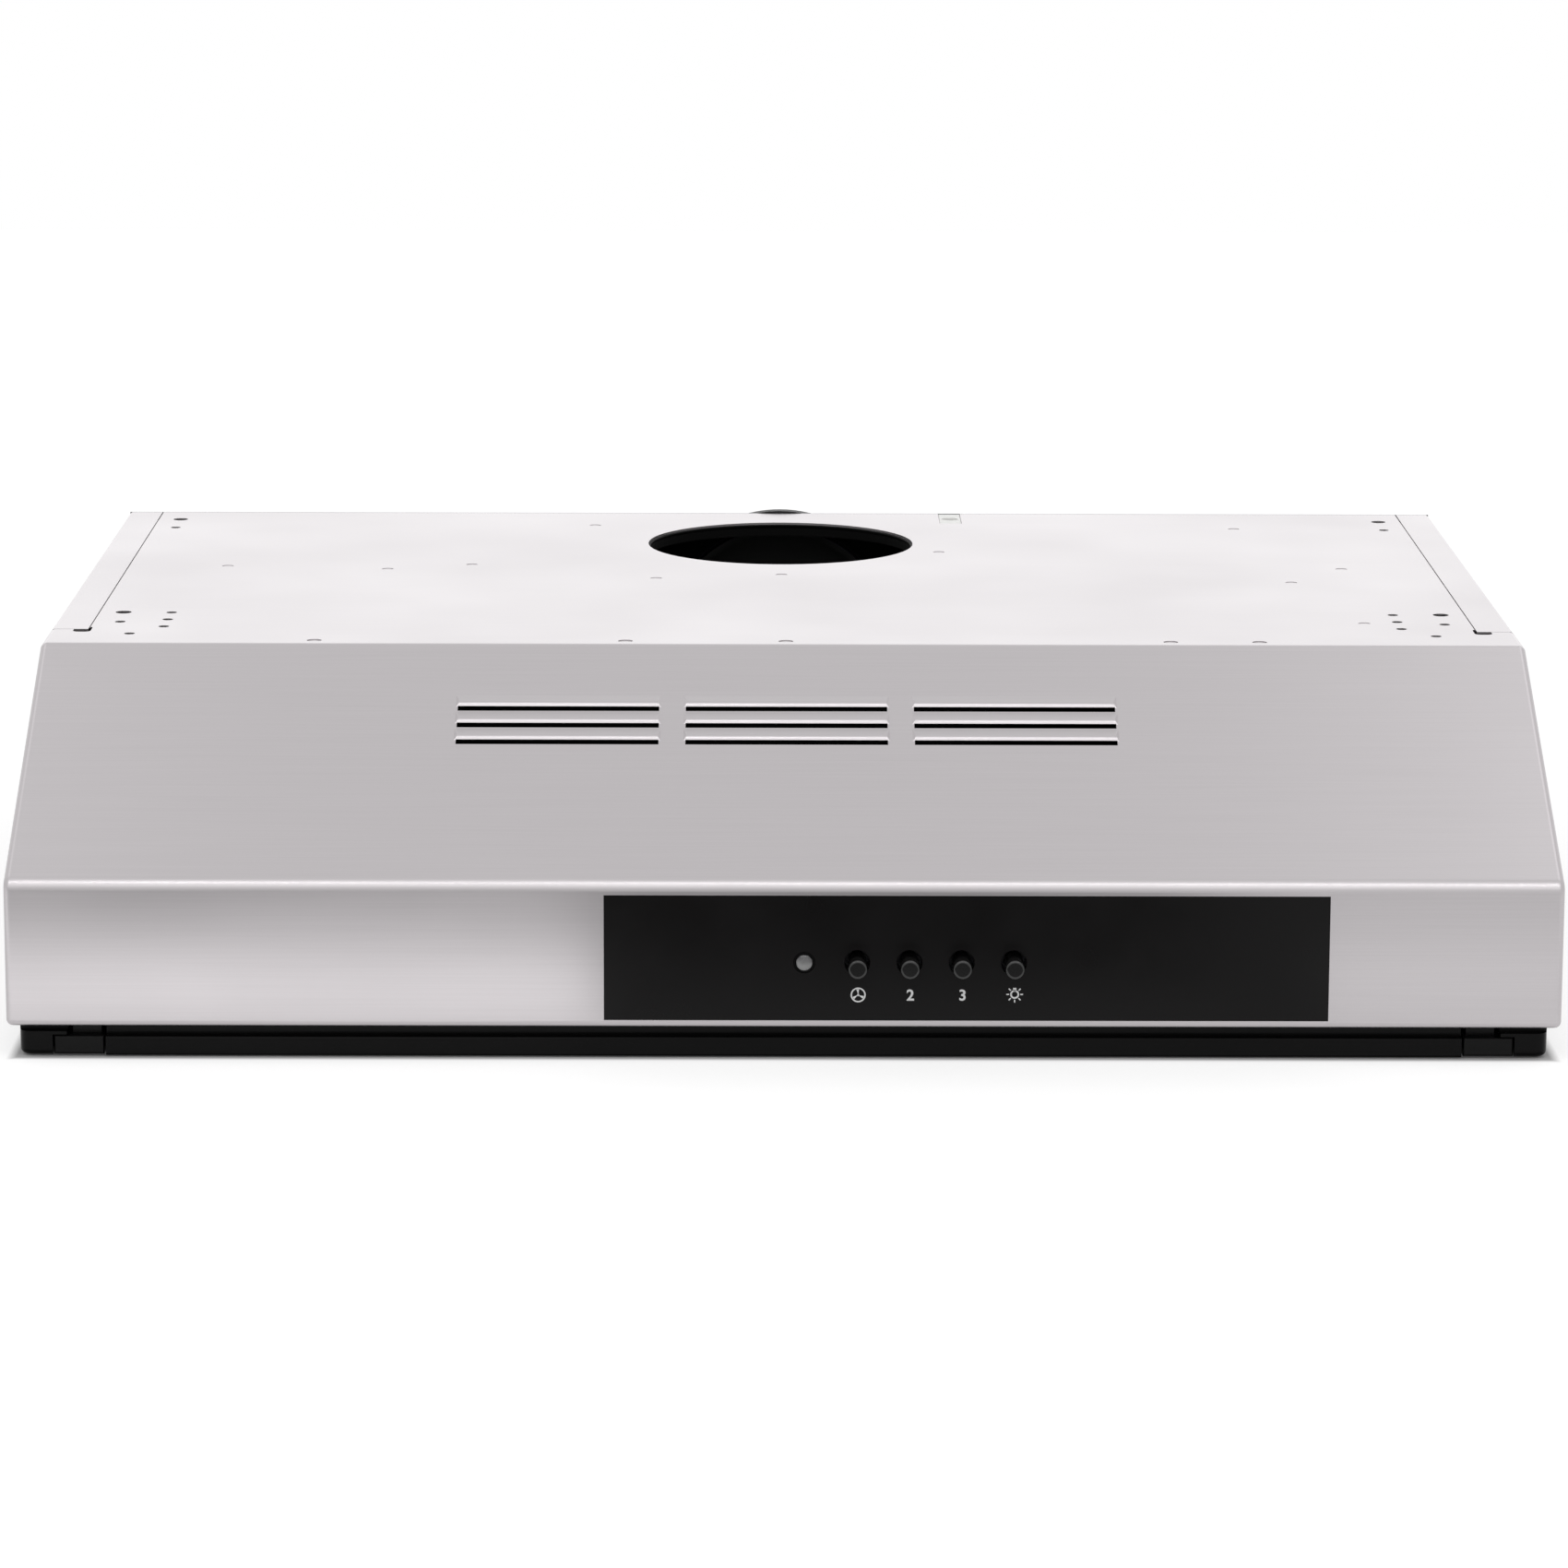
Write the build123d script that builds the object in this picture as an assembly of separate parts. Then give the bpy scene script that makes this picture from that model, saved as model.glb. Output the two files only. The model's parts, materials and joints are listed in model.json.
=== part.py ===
from build123d import *
import math
import os

# Under cabinet range hood, in millimetres.
# +X is right for someone facing the hood, +Y is towards the wall, +Z is up.
# The origin is the middle of the flat top that meets the cabinet.

# Stainless body
BODY_WIDTH = 600.0
TOP_DEPTH = 345.0
SLOPE_RUN = 136.0
SLOPE_RISE = 69.0
LIP_HEIGHT = 57.0
SHEET = 0.8
BEND_RADIUS = 2.6
FOLD_RADIUS = 5.6
HEM_WIDTH = 12.0
RETURN_DEPTH = 12.0
FRONT_LAND = 32.0
SIDE_FLANGE = 15.7
SIDE_BEND_RADIUS = 1.2
SEAM_GAP = 0.5
SEAM_TAB = 8.0
TAB_END_MARGIN = 8.0
RELIEF_LENGTH = 6.0
RELIEF_LAP = 1.0
RELIEF_WIDTH = 6.2
RELIEF_RADIUS = 2.5
REAR_FLANGE = 12.0
BACK_RISE = 6.0
HEM_REAR_CLEARANCE = 32.0

# Cabinet fixing holes and the spare holes beside them
MOUNT_INSET = 26.0
MOUNT_FROM_BACK = 22.0
MOUNT_SPACING = 250.0
MOUNT_HOLE_RADIUS = 3.3
SPARE_HOLE_INSET = 46.0
SPARE_HOLE_FROM_FRONT = 39.0
SPARE_HOLE_PITCH = 16.8
SPARE_HOLE_RADIUS = 2.2
SPARE_HOLE_COUNT = 3
REAR_SPARE_FROM_BACK = 46.0
FRONT_SPARE_INSET = 27.0
FRONT_SPARE_FROM_FRONT = 50.0
CORNER_SPARE_INSET = 33.7
CORNER_SPARE_FROM_FRONT = 22.0

# Pressed marks along the front of the top, and the marks of the studs welded below it
CLINCH_OFFSETS = (-190.0, -64.0, 1.0, 157.0, 193.0)
CLINCH_FROM_FRONT = 7.0
CLINCH_RADIUS = 3.0
CLINCH_DEPTH = 0.35
WELD_MARK_RADIUS = 2.5
WELD_MARK_DEPTH = 0.2
WELD_MARKS_FROM_FRONT = (
    (-241.0, 192.0), (-171.0, 185.0), (-135.0, 197.0), (-84.0, 308.0), (0.0, 172.0), (-54.0, 162.0),
    (70.0, 234.0), (206.0, 301.0), (219.0, 154.0), (244.0, 190.0), (240.0, 52.0),
)

# Louvres in the slope
LOUVRE_LENGTH = 81.8
LOUVRE_GAP = 9.0
LOUVRE_STRIP = 7.6
LOUVRE_HEIGHT = 1.3
LOUVRE_NOSE_RUN = 1.7
LOUVRE_NOSE_RADIUS = 2.4
LOUVRE_LIP = 0.2
LOUVRE_DROP = 1.0
LOUVRE_SHIFT = 0.35
LOUVRE_TAPER = 1.5
LOUVRE_FROM_BEND = 34.2
LOUVRE_PITCH = 10.8
LOUVRE_ROWS = 3
LOUVRE_GROUPS = 3
LOUVRE_OFFSET = 1.05
LOUVRE_MOUTH = 2.5

# Outlets and cable inlet
OUTLET_RADIUS = 59.0
OUTLET_FROM_BACK = 86.6
COLLAR_DEPTH = 6.0
REAR_OUTLET_RADIUS = 52.0
REAR_OUTLET_DROP = 57.0
CAP_RIM = 6.0
CAP_DEPTH = 8.0
CAP_WALL = 2.5
CAP_PLUG = 10.0
CAP_GAP = 0.4
INLET_OFFSET = 78.0
INLET_WIDTH = 10.0
INLET_LENGTH = 29.0
INLET_DEPTH = 12.0
INLET_BORE_RADIUS = 3.8
GLAND_GAP = 0.2
GLAND_LIP = 2.0
FLANGE_FROM_GLAND = 4.0

# Control panel, buttons and pilot lamp
PANEL_OFFSET = 70.1
PANEL_WIDTH = 279.3
PANEL_TOP_MARGIN = 1.3
PANEL_BOTTOM_MARGIN = 3.0
PANEL_THICKNESS = 2.5
PANEL_GAP = 0.15
PANEL_SINK = 0.2
PANEL_SIDE_OVERLAP = 10.0
PANEL_TOP_OVERLAP = 1.2
PANEL_STUD_SPREAD = 30.0
PANEL_STUD_RADIUS = 1.5
PANEL_STUD_LENGTH = 7.5
PANEL_NUT_FLATS = 5.5
PANEL_NUT_THICKNESS = 2.4
BUTTON_COUNT = 4
BUTTON_PITCH = 20.1
BUTTON_FIRST = 28.0
BUTTON_RISE = 25.8
BUTTON_RADIUS = 3.7
BUTTON_EDGE = 1.0
BUTTON_HOLE_GAP = 1.3
BUTTON_PROUD = 12.0
BUTTON_SEAT = 1.0
BUTTON_TRAVEL = 4.0
BUTTON_STEM_RADIUS = 2.4
BUTTON_STEM_LENGTH = 12.0
BUTTON_STEM_GAP = 0.35
BUTTON_END_GAP = 2.0
PILOT_OFFSET = 7.6
PILOT_RADIUS = 3.5
PILOT_PROUD = 1.4
PILOT_ROUND = 1.2
PILOT_GAP = 0.7
PILOT_FLANGE_LAP = 1.2
PILOT_FLANGE_THICKNESS = 1.0
PILOT_LAMP_RADIUS = 3.3
PILOT_LAMP_LENGTH = 14.0
SWITCH_MARGIN = 12.0
SWITCH_HEIGHT = 22.0
SWITCH_DEPTH = 26.0
SWITCH_EAR = 8.0
SWITCH_EAR_THICKNESS = 3.0
SWITCH_SCREW_RADIUS = 1.4
SWITCH_SCREW_BITE = 2.0
SWITCH_SCREW_HEAD = 2.8
SWITCH_SCREW_HEAD_HEIGHT = 2.0

# Blower
BLOWER_GAP = 6.0
IMPELLER_RADIUS = 66.0
SCROLL_GAP = 8.0
SCROLL_STEP = 9.0
VOLUTE_WALL = 2.5
VOLUTE_HEIGHT = 78.0
DUCT_RIGHT = 26.0
DUCT_WIDTH = 78.0
DUCT_INSERT = 6.0
DUCT_GAP = 0.3
FAN_SHIFT = 8.5
COVER_THICKNESS = 2.5
INLET_RADIUS = 50.0
BELL_HEIGHT = 8.0
BELL_WALL = 2.0
LUG_RADIUS = 8.0
LUG_OFFSET = 5.0
GROMMET_EDGE = 1.0
STUD_RADIUS = 2.0
STUD_GAP = 0.6
STUD_END = 8.0
NUT_FLATS = 7.0
NUT_THICKNESS = 3.2
NUT_GAP = 0.05
GUARD_RIM = 6.0
GUARD_BAR = 3.0
GUARD_THICKNESS = 2.0
GUARD_BARS = 6

# Motor and impeller
MOTOR_RADIUS = 38.0
MOTOR_HEIGHT = 46.0
MOTOR_TOP = 6.0
MOTOR_WALL = 1.5
MOTOR_PLATE = 2.0
MOTOR_SCREW_COUNT = 3
MOTOR_SCREW_CIRCLE = 26.0
MOTOR_SCREW_RADIUS = 1.9
MOTOR_SCREW_GAP = 0.3
MOTOR_SCREW_HEAD = 3.5
MOTOR_SCREW_HEAD_HEIGHT = 2.5
MOTOR_SCREW_BITE = 5.0
SHAFT_RADIUS = 4.0
SHAFT_FIT = 0.05
SHAFT_END = 22.0
BEARING_RADIUS = 9.0
BEARING_LENGTH = 7.0
BEARING_BOSS = 2.5
ROTOR_RADIUS = 20.0
ROTOR_GAP = 0.6
CORE_HEIGHT = 22.0
IMPELLER_TOP_GAP = 6.0
IMPELLER_HUB_GAP = 4.0
IMPELLER_CUP_GAP = 4.0
IMPELLER_SHEET = 2.0
IMPELLER_WIDTH = 50.0
HUB_RADIUS = 9.0
HUB_HEIGHT = 10.0
BLADE_COUNT = 36
BLADE_DEPTH = 12.0
BLADE_THICKNESS = 1.0
BLADE_ANGLE = 35.0
SHAFT_NUT_FLATS = 13.0
SHAFT_NUT_HEIGHT = 5.0
CAPACITOR_RADIUS = 16.0
CAPACITOR_HEIGHT = 58.0
CAPACITOR_ROUND = 1.6
CAPACITOR_OFFSET = 150.0
CAPACITOR_FROM_BACK = 50.0

# Outlet box, diverter and recirculation duct
BOX_WALL = 2.0
BOX_MARGIN = 8.0
BOX_FRONT_MARGIN = 5.0
BOX_FLOOR_MARGIN = 3.0
GUSSET_EDGE = 3.0
BOX_SCREW_EDGE = 4.0
WINDOW_HALF = 32.0
WINDOW_TOP = 12.0
WINDOW_BOTTOM = 62.0
FLAP_LAP = 4.0
FLAP_THICKNESS = 2.0
FLAP_SHAFT_RADIUS = 3.0
FLAP_SHAFT_DROP = 5.0
FLAP_SHAFT_INSET = 6.5
FLAP_SLEEVE = 1.8
FLAP_SHAFT_FIT = 0.05
LEVER_GAP = 4.0
LEVER_THICKNESS = 6.0
LEVER_RADIUS = 6.0
LEVER_LENGTH = 30.0
LEVER_WIDTH = 6.0
RECIRC_WALL = 1.5
RECIRC_LAP = 4.0
RECIRC_REACH = 72.0
RECIRC_WIDTH = 58.0
RECIRC_LOUVRE_MARGIN = 8.0

# Terminal box
TERMINAL_GAP = 24.0
TERMINAL_WIDTH = 70.0
TERMINAL_DEPTH = 34.0
TERMINAL_HEIGHT = 36.0
TERMINAL_WALL = 2.0
TERMINAL_FROM_BACK = 8.0
TERMINAL_LID = 2.5

# Lamps
LAMP_FROM_LIP = 52.0
LAMP_RISE = 30.0
LAMP_BRACKET = 2.0
LAMP_BRACKET_WIDTH = 36.0
LAMP_BRACKET_HEIGHT = 40.0
HOLDER_RADIUS = 13.0
HOLDER_LENGTH = 30.0
BULB_NECK_RADIUS = 7.0
BULB_NECK = 12.0
BULB_RADIUS = 12.0
BULB_LENGTH = 52.0
BULB_ROUND = 4.0

# Hinged grille
FRAME_SIDE_GAP = 4.0
FRAME_SETBACK = 8.0
FRAME_GAP = 1.0
FRAME_HEIGHT = 12.4
RAIL_WIDTH = 12.0
POCKET_WALL = 2.0
REAR_RAIL_WIDTH = 20.0
NOSE_HEIGHT = 7.9
NOSE_DEPTH = 4.0
NOSE_EDGE = 0.9
CORNER_LENGTH = 34.0
CORNER_ROUND = 5.0
CORNER_BOTTOM_ROUND = 2.5
CORNER_NOSE_HEIGHT = 9.6
CORNER_FOOT = 13.0
CORNER_ARM = 5.5
CORNER_ARM_GAP = 0.4
SHEET_RISE = 4.0
GRID_THICKNESS = 1.0
GROOVE_DEPTH = 5.0
GROOVE_END_GAP = 0.3
GROOVE_TOP_GAP = 0.4
LAMP_ZONE = 84.0
LAMP_WINDOW_WIDTH = 100.0
LAMP_WINDOW_DEPTH = 56.0
LAMP_WINDOW_INSET = 18.0
DIFFUSER_GAP = 0.3
DIFFUSER_LAP = 5.0
DIFFUSER_THICKNESS = 2.0
GRID_COLUMNS = 24
GRID_ROWS = 12
GRID_BAR = 4.0
GRID_BORDER = 14.0
MAT_THICKNESS = 6.0
MAT_MARGIN = 3.0
WIRE_RADIUS = 1.0
WIRE_SEAT = 6.0
WIRE_GAP = 0.05
WIRE_COUNT = 2

# Grille hinge and catches
HINGE_FROM_BACK = 14.0
HINGE_DROP = 7.0
HINGE_INSET = 100.0
HINGE_TAIL = 6.0
HINGE_PIN_RADIUS = 2.5
HINGE_PIN_LENGTH = 24.0
HINGE_FIT = 0.05
HINGE_EYE_RADIUS = 5.5
HINGE_EYE_GAP = 1.1
HINGE_BRACKET_WIDTH = 8.0
HINGE_SIDE_GAP = 1.0
HINGE_FOOT_BOTTOM = 8.0
HINGE_FOOT_TOP = 24.0
CATCH_WIDTH = 19.3
CATCH_SIDE_GAP = 0.5
CATCH_RAIL_GAP = 0.7
CATCH_DEPTH = 9.0
CATCH_TRAVEL = 4.5
CATCH_END_GAP = 1.5
CATCH_INSET = 0.3
CATCH_BOTTOM_GAP = 0.4
CATCH_HOOK_WIDTH = 11.0
CATCH_HOOK_GAP = 1.2
CATCH_HOOK_LAP = 2.8
CATCH_HOOK_THICKNESS = 2.2
CATCH_HOOK_RISE = 0.5

# Small screws through the back panel
SCREW_RADIUS = 1.9
SCREW_HOLE_GAP = 0.2
SCREW_HEAD_RADIUS = 3.6
SCREW_HEAD_HEIGHT = 2.2
SCREW_LENGTH = 8.0
SCREW_FROM_TOP = 7.0

# Planes and lines of the body
HALF = BODY_WIDTH / 2
Y_BACK = TOP_DEPTH / 2
Y_REAR = Y_BACK - SHEET
Y_TOP = -TOP_DEPTH / 2
Y_LIP = Y_TOP - SLOPE_RUN
Z_BEND = -SLOPE_RISE
Z_LIP = Z_BEND - LIP_HEIGHT
SLOPE_ANGLE = math.atan2(SLOPE_RISE, SLOPE_RUN)
LIP_TURN = math.pi / 2 - SLOPE_ANGLE
LIP_TOP = Z_BEND - FOLD_RADIUS * math.tan(LIP_TURN / 2)
SEAM_X = HALF - SIDE_FLANGE - SEAM_GAP
SIDE_OUTER = HALF - SHEET
SIDE_INNER = HALF - 2 * SHEET
PAST = 5.0

# Outlet box and blower places
OUTLET_Y = Y_BACK - OUTLET_FROM_BACK
BOX_HALF = max(
    OUTLET_RADIUS + BOX_MARGIN,
    REAR_OUTLET_RADIUS + FLAP_SHAFT_RADIUS + FLAP_SHAFT_INSET + BOX_WALL,
)
BOX_FRONT = OUTLET_Y - OUTLET_RADIUS - BOX_FRONT_MARGIN
BOX_FLOOR = -REAR_OUTLET_DROP - REAR_OUTLET_RADIUS - BOX_FLOOR_MARGIN
VOLUTE_TOP = -SHEET - BLOWER_GAP
VOLUTE_BOTTOM = VOLUTE_TOP - VOLUTE_HEIGHT
COVER_BOTTOM = VOLUTE_BOTTOM - COVER_THICKNESS
SCROLL_RADIUS = IMPELLER_RADIUS + SCROLL_GAP
FAN_X = DUCT_RIGHT - SCROLL_RADIUS - 4 * SCROLL_STEP
FAN_Y = (Y_TOP + BOX_FRONT) / 2 + FAN_SHIFT
MOTOR_Z = VOLUTE_TOP - VOLUTE_WALL
MOTOR_BOTTOM = MOTOR_Z - MOTOR_HEIGHT
BEARING_TOP = MOTOR_Z - MOTOR_TOP
HUB_TOP = MOTOR_BOTTOM - IMPELLER_HUB_GAP
FLAP_X = BOX_HALF - BOX_WALL - FLAP_SHAFT_INSET
FLAP_Z = -WINDOW_BOTTOM - FLAP_SHAFT_DROP

# Control places
PANEL_BOTTOM = Z_LIP + PANEL_BOTTOM_MARGIN
PANEL_TOP = LIP_TOP - PANEL_TOP_MARGIN
PANEL_LEFT = PANEL_OFFSET - PANEL_WIDTH / 2
PANEL_RIGHT = PANEL_OFFSET + PANEL_WIDTH / 2
PANEL_BACK = Y_LIP + SHEET + PANEL_THICKNESS
BUTTON_Z = Z_LIP + BUTTON_RISE
BUTTON_XS = [BUTTON_FIRST + BUTTON_PITCH * i for i in range(BUTTON_COUNT)]
BUTTON_BORE = BUTTON_RADIUS + BUTTON_HOLE_GAP

# Grille places
FRAME_X = HALF - FRAME_SIDE_GAP
FRAME_FRONT = Y_LIP + FRAME_SETBACK
FRAME_TOP = Z_LIP - FRAME_GAP
FRAME_BOTTOM = FRAME_TOP - FRAME_HEIGHT
HINGE_Y = Y_BACK - HINGE_FROM_BACK
HINGE_Z = Z_LIP - HINGE_DROP
HINGE_X = HALF - HINGE_INSET
FRAME_REAR = HINGE_Y + HINGE_TAIL
REAR_RAIL_FRONT = FRAME_REAR - REAR_RAIL_WIDTH
CATCH_RIGHT = FRAME_X - CORNER_FOOT - CATCH_SIDE_GAP
CATCH_LEFT = CATCH_RIGHT - CATCH_WIDTH
RAIL_END = CATCH_LEFT - CATCH_RAIL_GAP
GRID_X = FRAME_X - RAIL_WIDTH + GROOVE_DEPTH
POCKET_BACK = FRAME_FRONT + CATCH_DEPTH + CATCH_TRAVEL + CATCH_END_GAP
FRONT_RAIL_BACK = POCKET_BACK + POCKET_WALL + GROOVE_DEPTH
CROSS_FRONT = FRONT_RAIL_BACK + LAMP_ZONE
CROSS_REAR = CROSS_FRONT + RAIL_WIDTH
GRID_BOTTOM = FRAME_BOTTOM + SHEET_RISE
GRID_TOP = GRID_BOTTOM + GRID_THICKNESS
HEM_EDGE = Y_LIP + HEM_WIDTH


def block(x0, x1, y0, y1, z0, z1):
    centre = Pos((x0 + x1) / 2, (y0 + y1) / 2, (z0 + z1) / 2)
    return centre * Box(x1 - x0, y1 - y0, z1 - z0)


def rod_x(x0, x1, y, z, radius):
    return Pos((x0 + x1) / 2, y, z) * Rot(0, 90, 0) * Cylinder(radius, x1 - x0)


def rod_y(x, y0, y1, z, radius):
    return Pos(x, (y0 + y1) / 2, z) * Rot(90, 0, 0) * Cylinder(radius, y1 - y0)


def rod_z(x, y, z0, z1, radius):
    return Pos(x, y, (z0 + z1) / 2) * Cylinder(radius, z1 - z0)


def tube_z(x, y, z0, z1, outer, inner):
    return rod_z(x, y, z0, z1, outer) - rod_z(x, y, z0, z1, inner)


def prism_x(points, x0, x1):
    face = Plane.YZ * Polygon(*points, align=None)
    return Pos(x0, 0, 0) * extrude(face, amount=x1 - x0, dir=(1, 0, 0))


def both_sides(shape):
    return [shape, mirror(shape, about=Plane.YZ)]


def group(shapes):
    return Compound(children=[solid for shape in shapes for solid in shape.solids()])


def hex_prism_z(x, y, z0, z1, flats):
    hexagon = RegularPolygon(flats / 2, 6, major_radius=False)
    return Pos(x, y, z0) * extrude(hexagon, z1 - z0)


def hex_prism_y(x, y0, y1, z, flats):
    hexagon = RegularPolygon(flats / 2, 6, major_radius=False)
    return Pos(x, y1, z) * Rot(90, 0, 0) * extrude(hexagon, y1 - y0)


def body_profile(inset, rear):
    """Side outline of the body, moved inwards by the inset."""
    top_front = Y_TOP + inset * math.tan(SLOPE_ANGLE / 2)
    bend = Z_BEND - inset * math.tan(LIP_TURN / 2)
    return [
        (top_front, -inset),
        (Y_LIP + inset, bend),
        (Y_LIP + inset, Z_LIP + inset),
        (rear, Z_LIP + inset),
        (rear, -inset),
    ]


def rounded_body(inset, rear):
    """The body as a solid prism: its two folds rounded first, then every edge but the open rear's."""
    width = HALF - inset
    solid = prism_x(body_profile(inset, rear), -width, width)
    folds = [
        edge for edge in solid.edges().filter_by(Axis.X)
        if edge.center().Y < rear - SHEET / 2 and edge.center().Z > (Z_BEND + Z_LIP) / 2
    ]
    solid = fillet(folds, FOLD_RADIUS - inset)
    seams = solid.edges().filter_by(Axis.X).filter_by(lambda edge: edge.center().Z > (Z_BEND + Z_LIP) / 2)
    rounded = [edge for edge in solid.edges() - seams if edge.center().Y < rear - SHEET / 2]
    return fillet(rounded, BEND_RADIUS - inset)


def slope_plane():
    normal = (0, -math.sin(SLOPE_ANGLE), math.cos(SLOPE_ANGLE))
    return Plane(origin=(0, Y_TOP, 0), x_dir=(1, 0, 0), z_dir=normal)


def louvre_ridge(start, length, radius):
    """A pressed ridge in the slope's plane: a long ramp up from start, a rounded crest, a short nose down."""
    end = start + LOUVRE_STRIP
    crest = end - LOUVRE_NOSE_RUN
    ridge = prism_x([(-start, 0), (-crest, LOUVRE_HEIGHT), (-end, 0)], -length / 2, length / 2)
    ridge = fillet(ridge.edges().filter_by(Axis.X).sort_by(Axis.Z)[-1], radius)
    front = Plane.XZ * Polygon(
        (-length / 2, 0), (-length / 2 + LOUVRE_TAPER, LOUVRE_HEIGHT),
        (length / 2 - LOUVRE_TAPER, LOUVRE_HEIGHT), (length / 2, 0),
        align=None,
    )
    return ridge & extrude(front, amount=end, dir=(0, -1, 0))


def add_louvres(shell):
    group_pitch = LOUVRE_LENGTH + LOUVRE_GAP
    plane = slope_plane()
    inner = LOUVRE_LENGTH - 2 * SHEET
    hoods = []
    cuts = []
    for column in range(LOUVRE_GROUPS):
        x = LOUVRE_OFFSET + (column - (LOUVRE_GROUPS - 1) / 2) * group_pitch
        for row in range(LOUVRE_ROWS):
            start = LOUVRE_FROM_BEND + row * LOUVRE_PITCH
            end = start + LOUVRE_STRIP
            hood = louvre_ridge(start, LOUVRE_LENGTH, LOUVRE_NOSE_RADIUS)
            hollow = louvre_ridge(start, inner, LOUVRE_NOSE_RADIUS - SHEET)
            mouth = block(
                -inner / 2, inner / 2, -end - LOUVRE_MOUTH, LOUVRE_NOSE_RUN - end, -2 * SHEET, LOUVRE_LIP
            )
            hoods.append(plane * Pos(x, 0, 0) * hood)
            cuts.append(plane * Pos(x, LOUVRE_SHIFT, -LOUVRE_DROP) * hollow)
            cuts.append(plane * Pos(x, 0, 0) * mouth)
    return shell + hoods - cuts


def spare_holes():
    """Inset from the side and Y of each spare fixing hole."""
    holes = [
        (MOUNT_INSET, Y_BACK - REAR_SPARE_FROM_BACK),
        (FRONT_SPARE_INSET, Y_TOP + FRONT_SPARE_FROM_FRONT),
        (CORNER_SPARE_INSET, Y_TOP + CORNER_SPARE_FROM_FRONT),
    ]
    for i in range(SPARE_HOLE_COUNT):
        holes.append((SPARE_HOLE_INSET, Y_TOP + SPARE_HOLE_FROM_FRONT + i * SPARE_HOLE_PITCH))
    return holes


def top_holes():
    cuts = [rod_z(0, OUTLET_Y, -COLLAR_DEPTH - PAST, PAST, OUTLET_RADIUS)]
    rear = Y_BACK - MOUNT_FROM_BACK
    for y in (rear, rear - MOUNT_SPACING):
        hole = rod_z(HALF - MOUNT_INSET, y, -PAST, PAST, MOUNT_HOLE_RADIUS)
        cuts += both_sides(hole)
    for inset, y in spare_holes():
        hole = rod_z(HALF - inset, y, -PAST, PAST, SPARE_HOLE_RADIUS)
        cuts += both_sides(hole)
    for x in CLINCH_OFFSETS:
        y = Y_TOP + CLINCH_FROM_FRONT
        cuts.append(rod_z(x, y, -CLINCH_DEPTH, PAST, CLINCH_RADIUS))
    for x, from_front in WELD_MARKS_FROM_FRONT:
        cuts.append(rod_z(x, Y_TOP + from_front, -WELD_MARK_DEPTH, PAST, WELD_MARK_RADIUS))
    cuts.append(
        block(
            INLET_OFFSET - INLET_WIDTH / 2, INLET_OFFSET + INLET_WIDTH / 2,
            Y_REAR - INLET_LENGTH, Y_REAR + PAST, -PAST, PAST,
        )
    )
    return cuts


def panel_studs(radius, y0, y1):
    middle = (PANEL_BOTTOM + PANEL_TOP) / 2
    places = []
    for x in (PANEL_LEFT - PANEL_SIDE_OVERLAP / 2, PANEL_RIGHT + PANEL_SIDE_OVERLAP / 2):
        for z in (middle - PANEL_STUD_SPREAD / 2, middle + PANEL_STUD_SPREAD / 2):
            places.append(rod_y(x, y0, y1, z, radius))
    return places


def side_cut():
    """What the main shell leaves to the right side panel."""
    rear = Y_BACK + PAST
    strip = block(SEAM_X, HALF + PAST, Y_TOP + FRONT_LAND, rear, Z_LIP - PAST, PAST)
    outline = body_profile(RETURN_DEPTH, Y_TOP + FRONT_LAND + PAST)
    outline[2] = (Y_LIP + RETURN_DEPTH, Z_LIP - PAST)
    outline[3] = (Y_TOP + FRONT_LAND + PAST, Z_LIP - PAST)
    wall = prism_x(outline, HALF - BEND_RADIUS, HALF + PAST)
    relief = block(
        SEAM_X - RELIEF_LAP, SEAM_X + RELIEF_WIDTH,
        Y_TOP + FRONT_LAND - RELIEF_LENGTH, Y_TOP + FRONT_LAND + RELIEF_LENGTH, -PAST, PAST,
    )
    relief = fillet(relief.edges().filter_by(Axis.Z), RELIEF_RADIUS)
    return [strip, wall, relief]


def main_shell():
    shell = rounded_body(0, Y_REAR) - rounded_body(SHEET, Y_REAR + PAST)
    hem_window = block(
        -HALF - PAST, HALF + PAST, HEM_EDGE, Y_BACK + PAST, Z_LIP - PAST, Z_LIP + BEND_RADIUS + SHEET
    )
    shell -= [hem_window]
    for cut in side_cut():
        shell -= both_sides(cut)
    tab = block(
        SEAM_X - SHEET, SEAM_X + SEAM_TAB, Y_TOP + FRONT_LAND + TAB_END_MARGIN,
        Y_BACK - TAB_END_MARGIN - REAR_FLANGE, -2 * SHEET, -SHEET,
    )
    flange_start = INLET_OFFSET + INLET_WIDTH / 2 + GLAND_LIP + FLANGE_FROM_GLAND
    flange = block(flange_start, SEAM_X - SEAM_GAP, Y_REAR - SHEET, Y_REAR, -REAR_FLANGE, 0)
    collar = rod_z(0, OUTLET_Y, -COLLAR_DEPTH, -SHEET, OUTLET_RADIUS + SHEET)
    shell += both_sides(tab) + both_sides(flange) + [collar]
    shell -= top_holes()
    shell -= back_screw_holes(SCREW_RADIUS + SCREW_HOLE_GAP)
    shell = add_louvres(shell)
    shell -= [block(PANEL_LEFT, PANEL_RIGHT, Y_LIP - PAST, Y_LIP + SHEET + PAST, PANEL_BOTTOM, PANEL_TOP)]
    shell += panel_studs(PANEL_STUD_RADIUS, Y_LIP + SHEET / 2, Y_LIP + SHEET + PANEL_STUD_LENGTH)
    return shell


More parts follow.
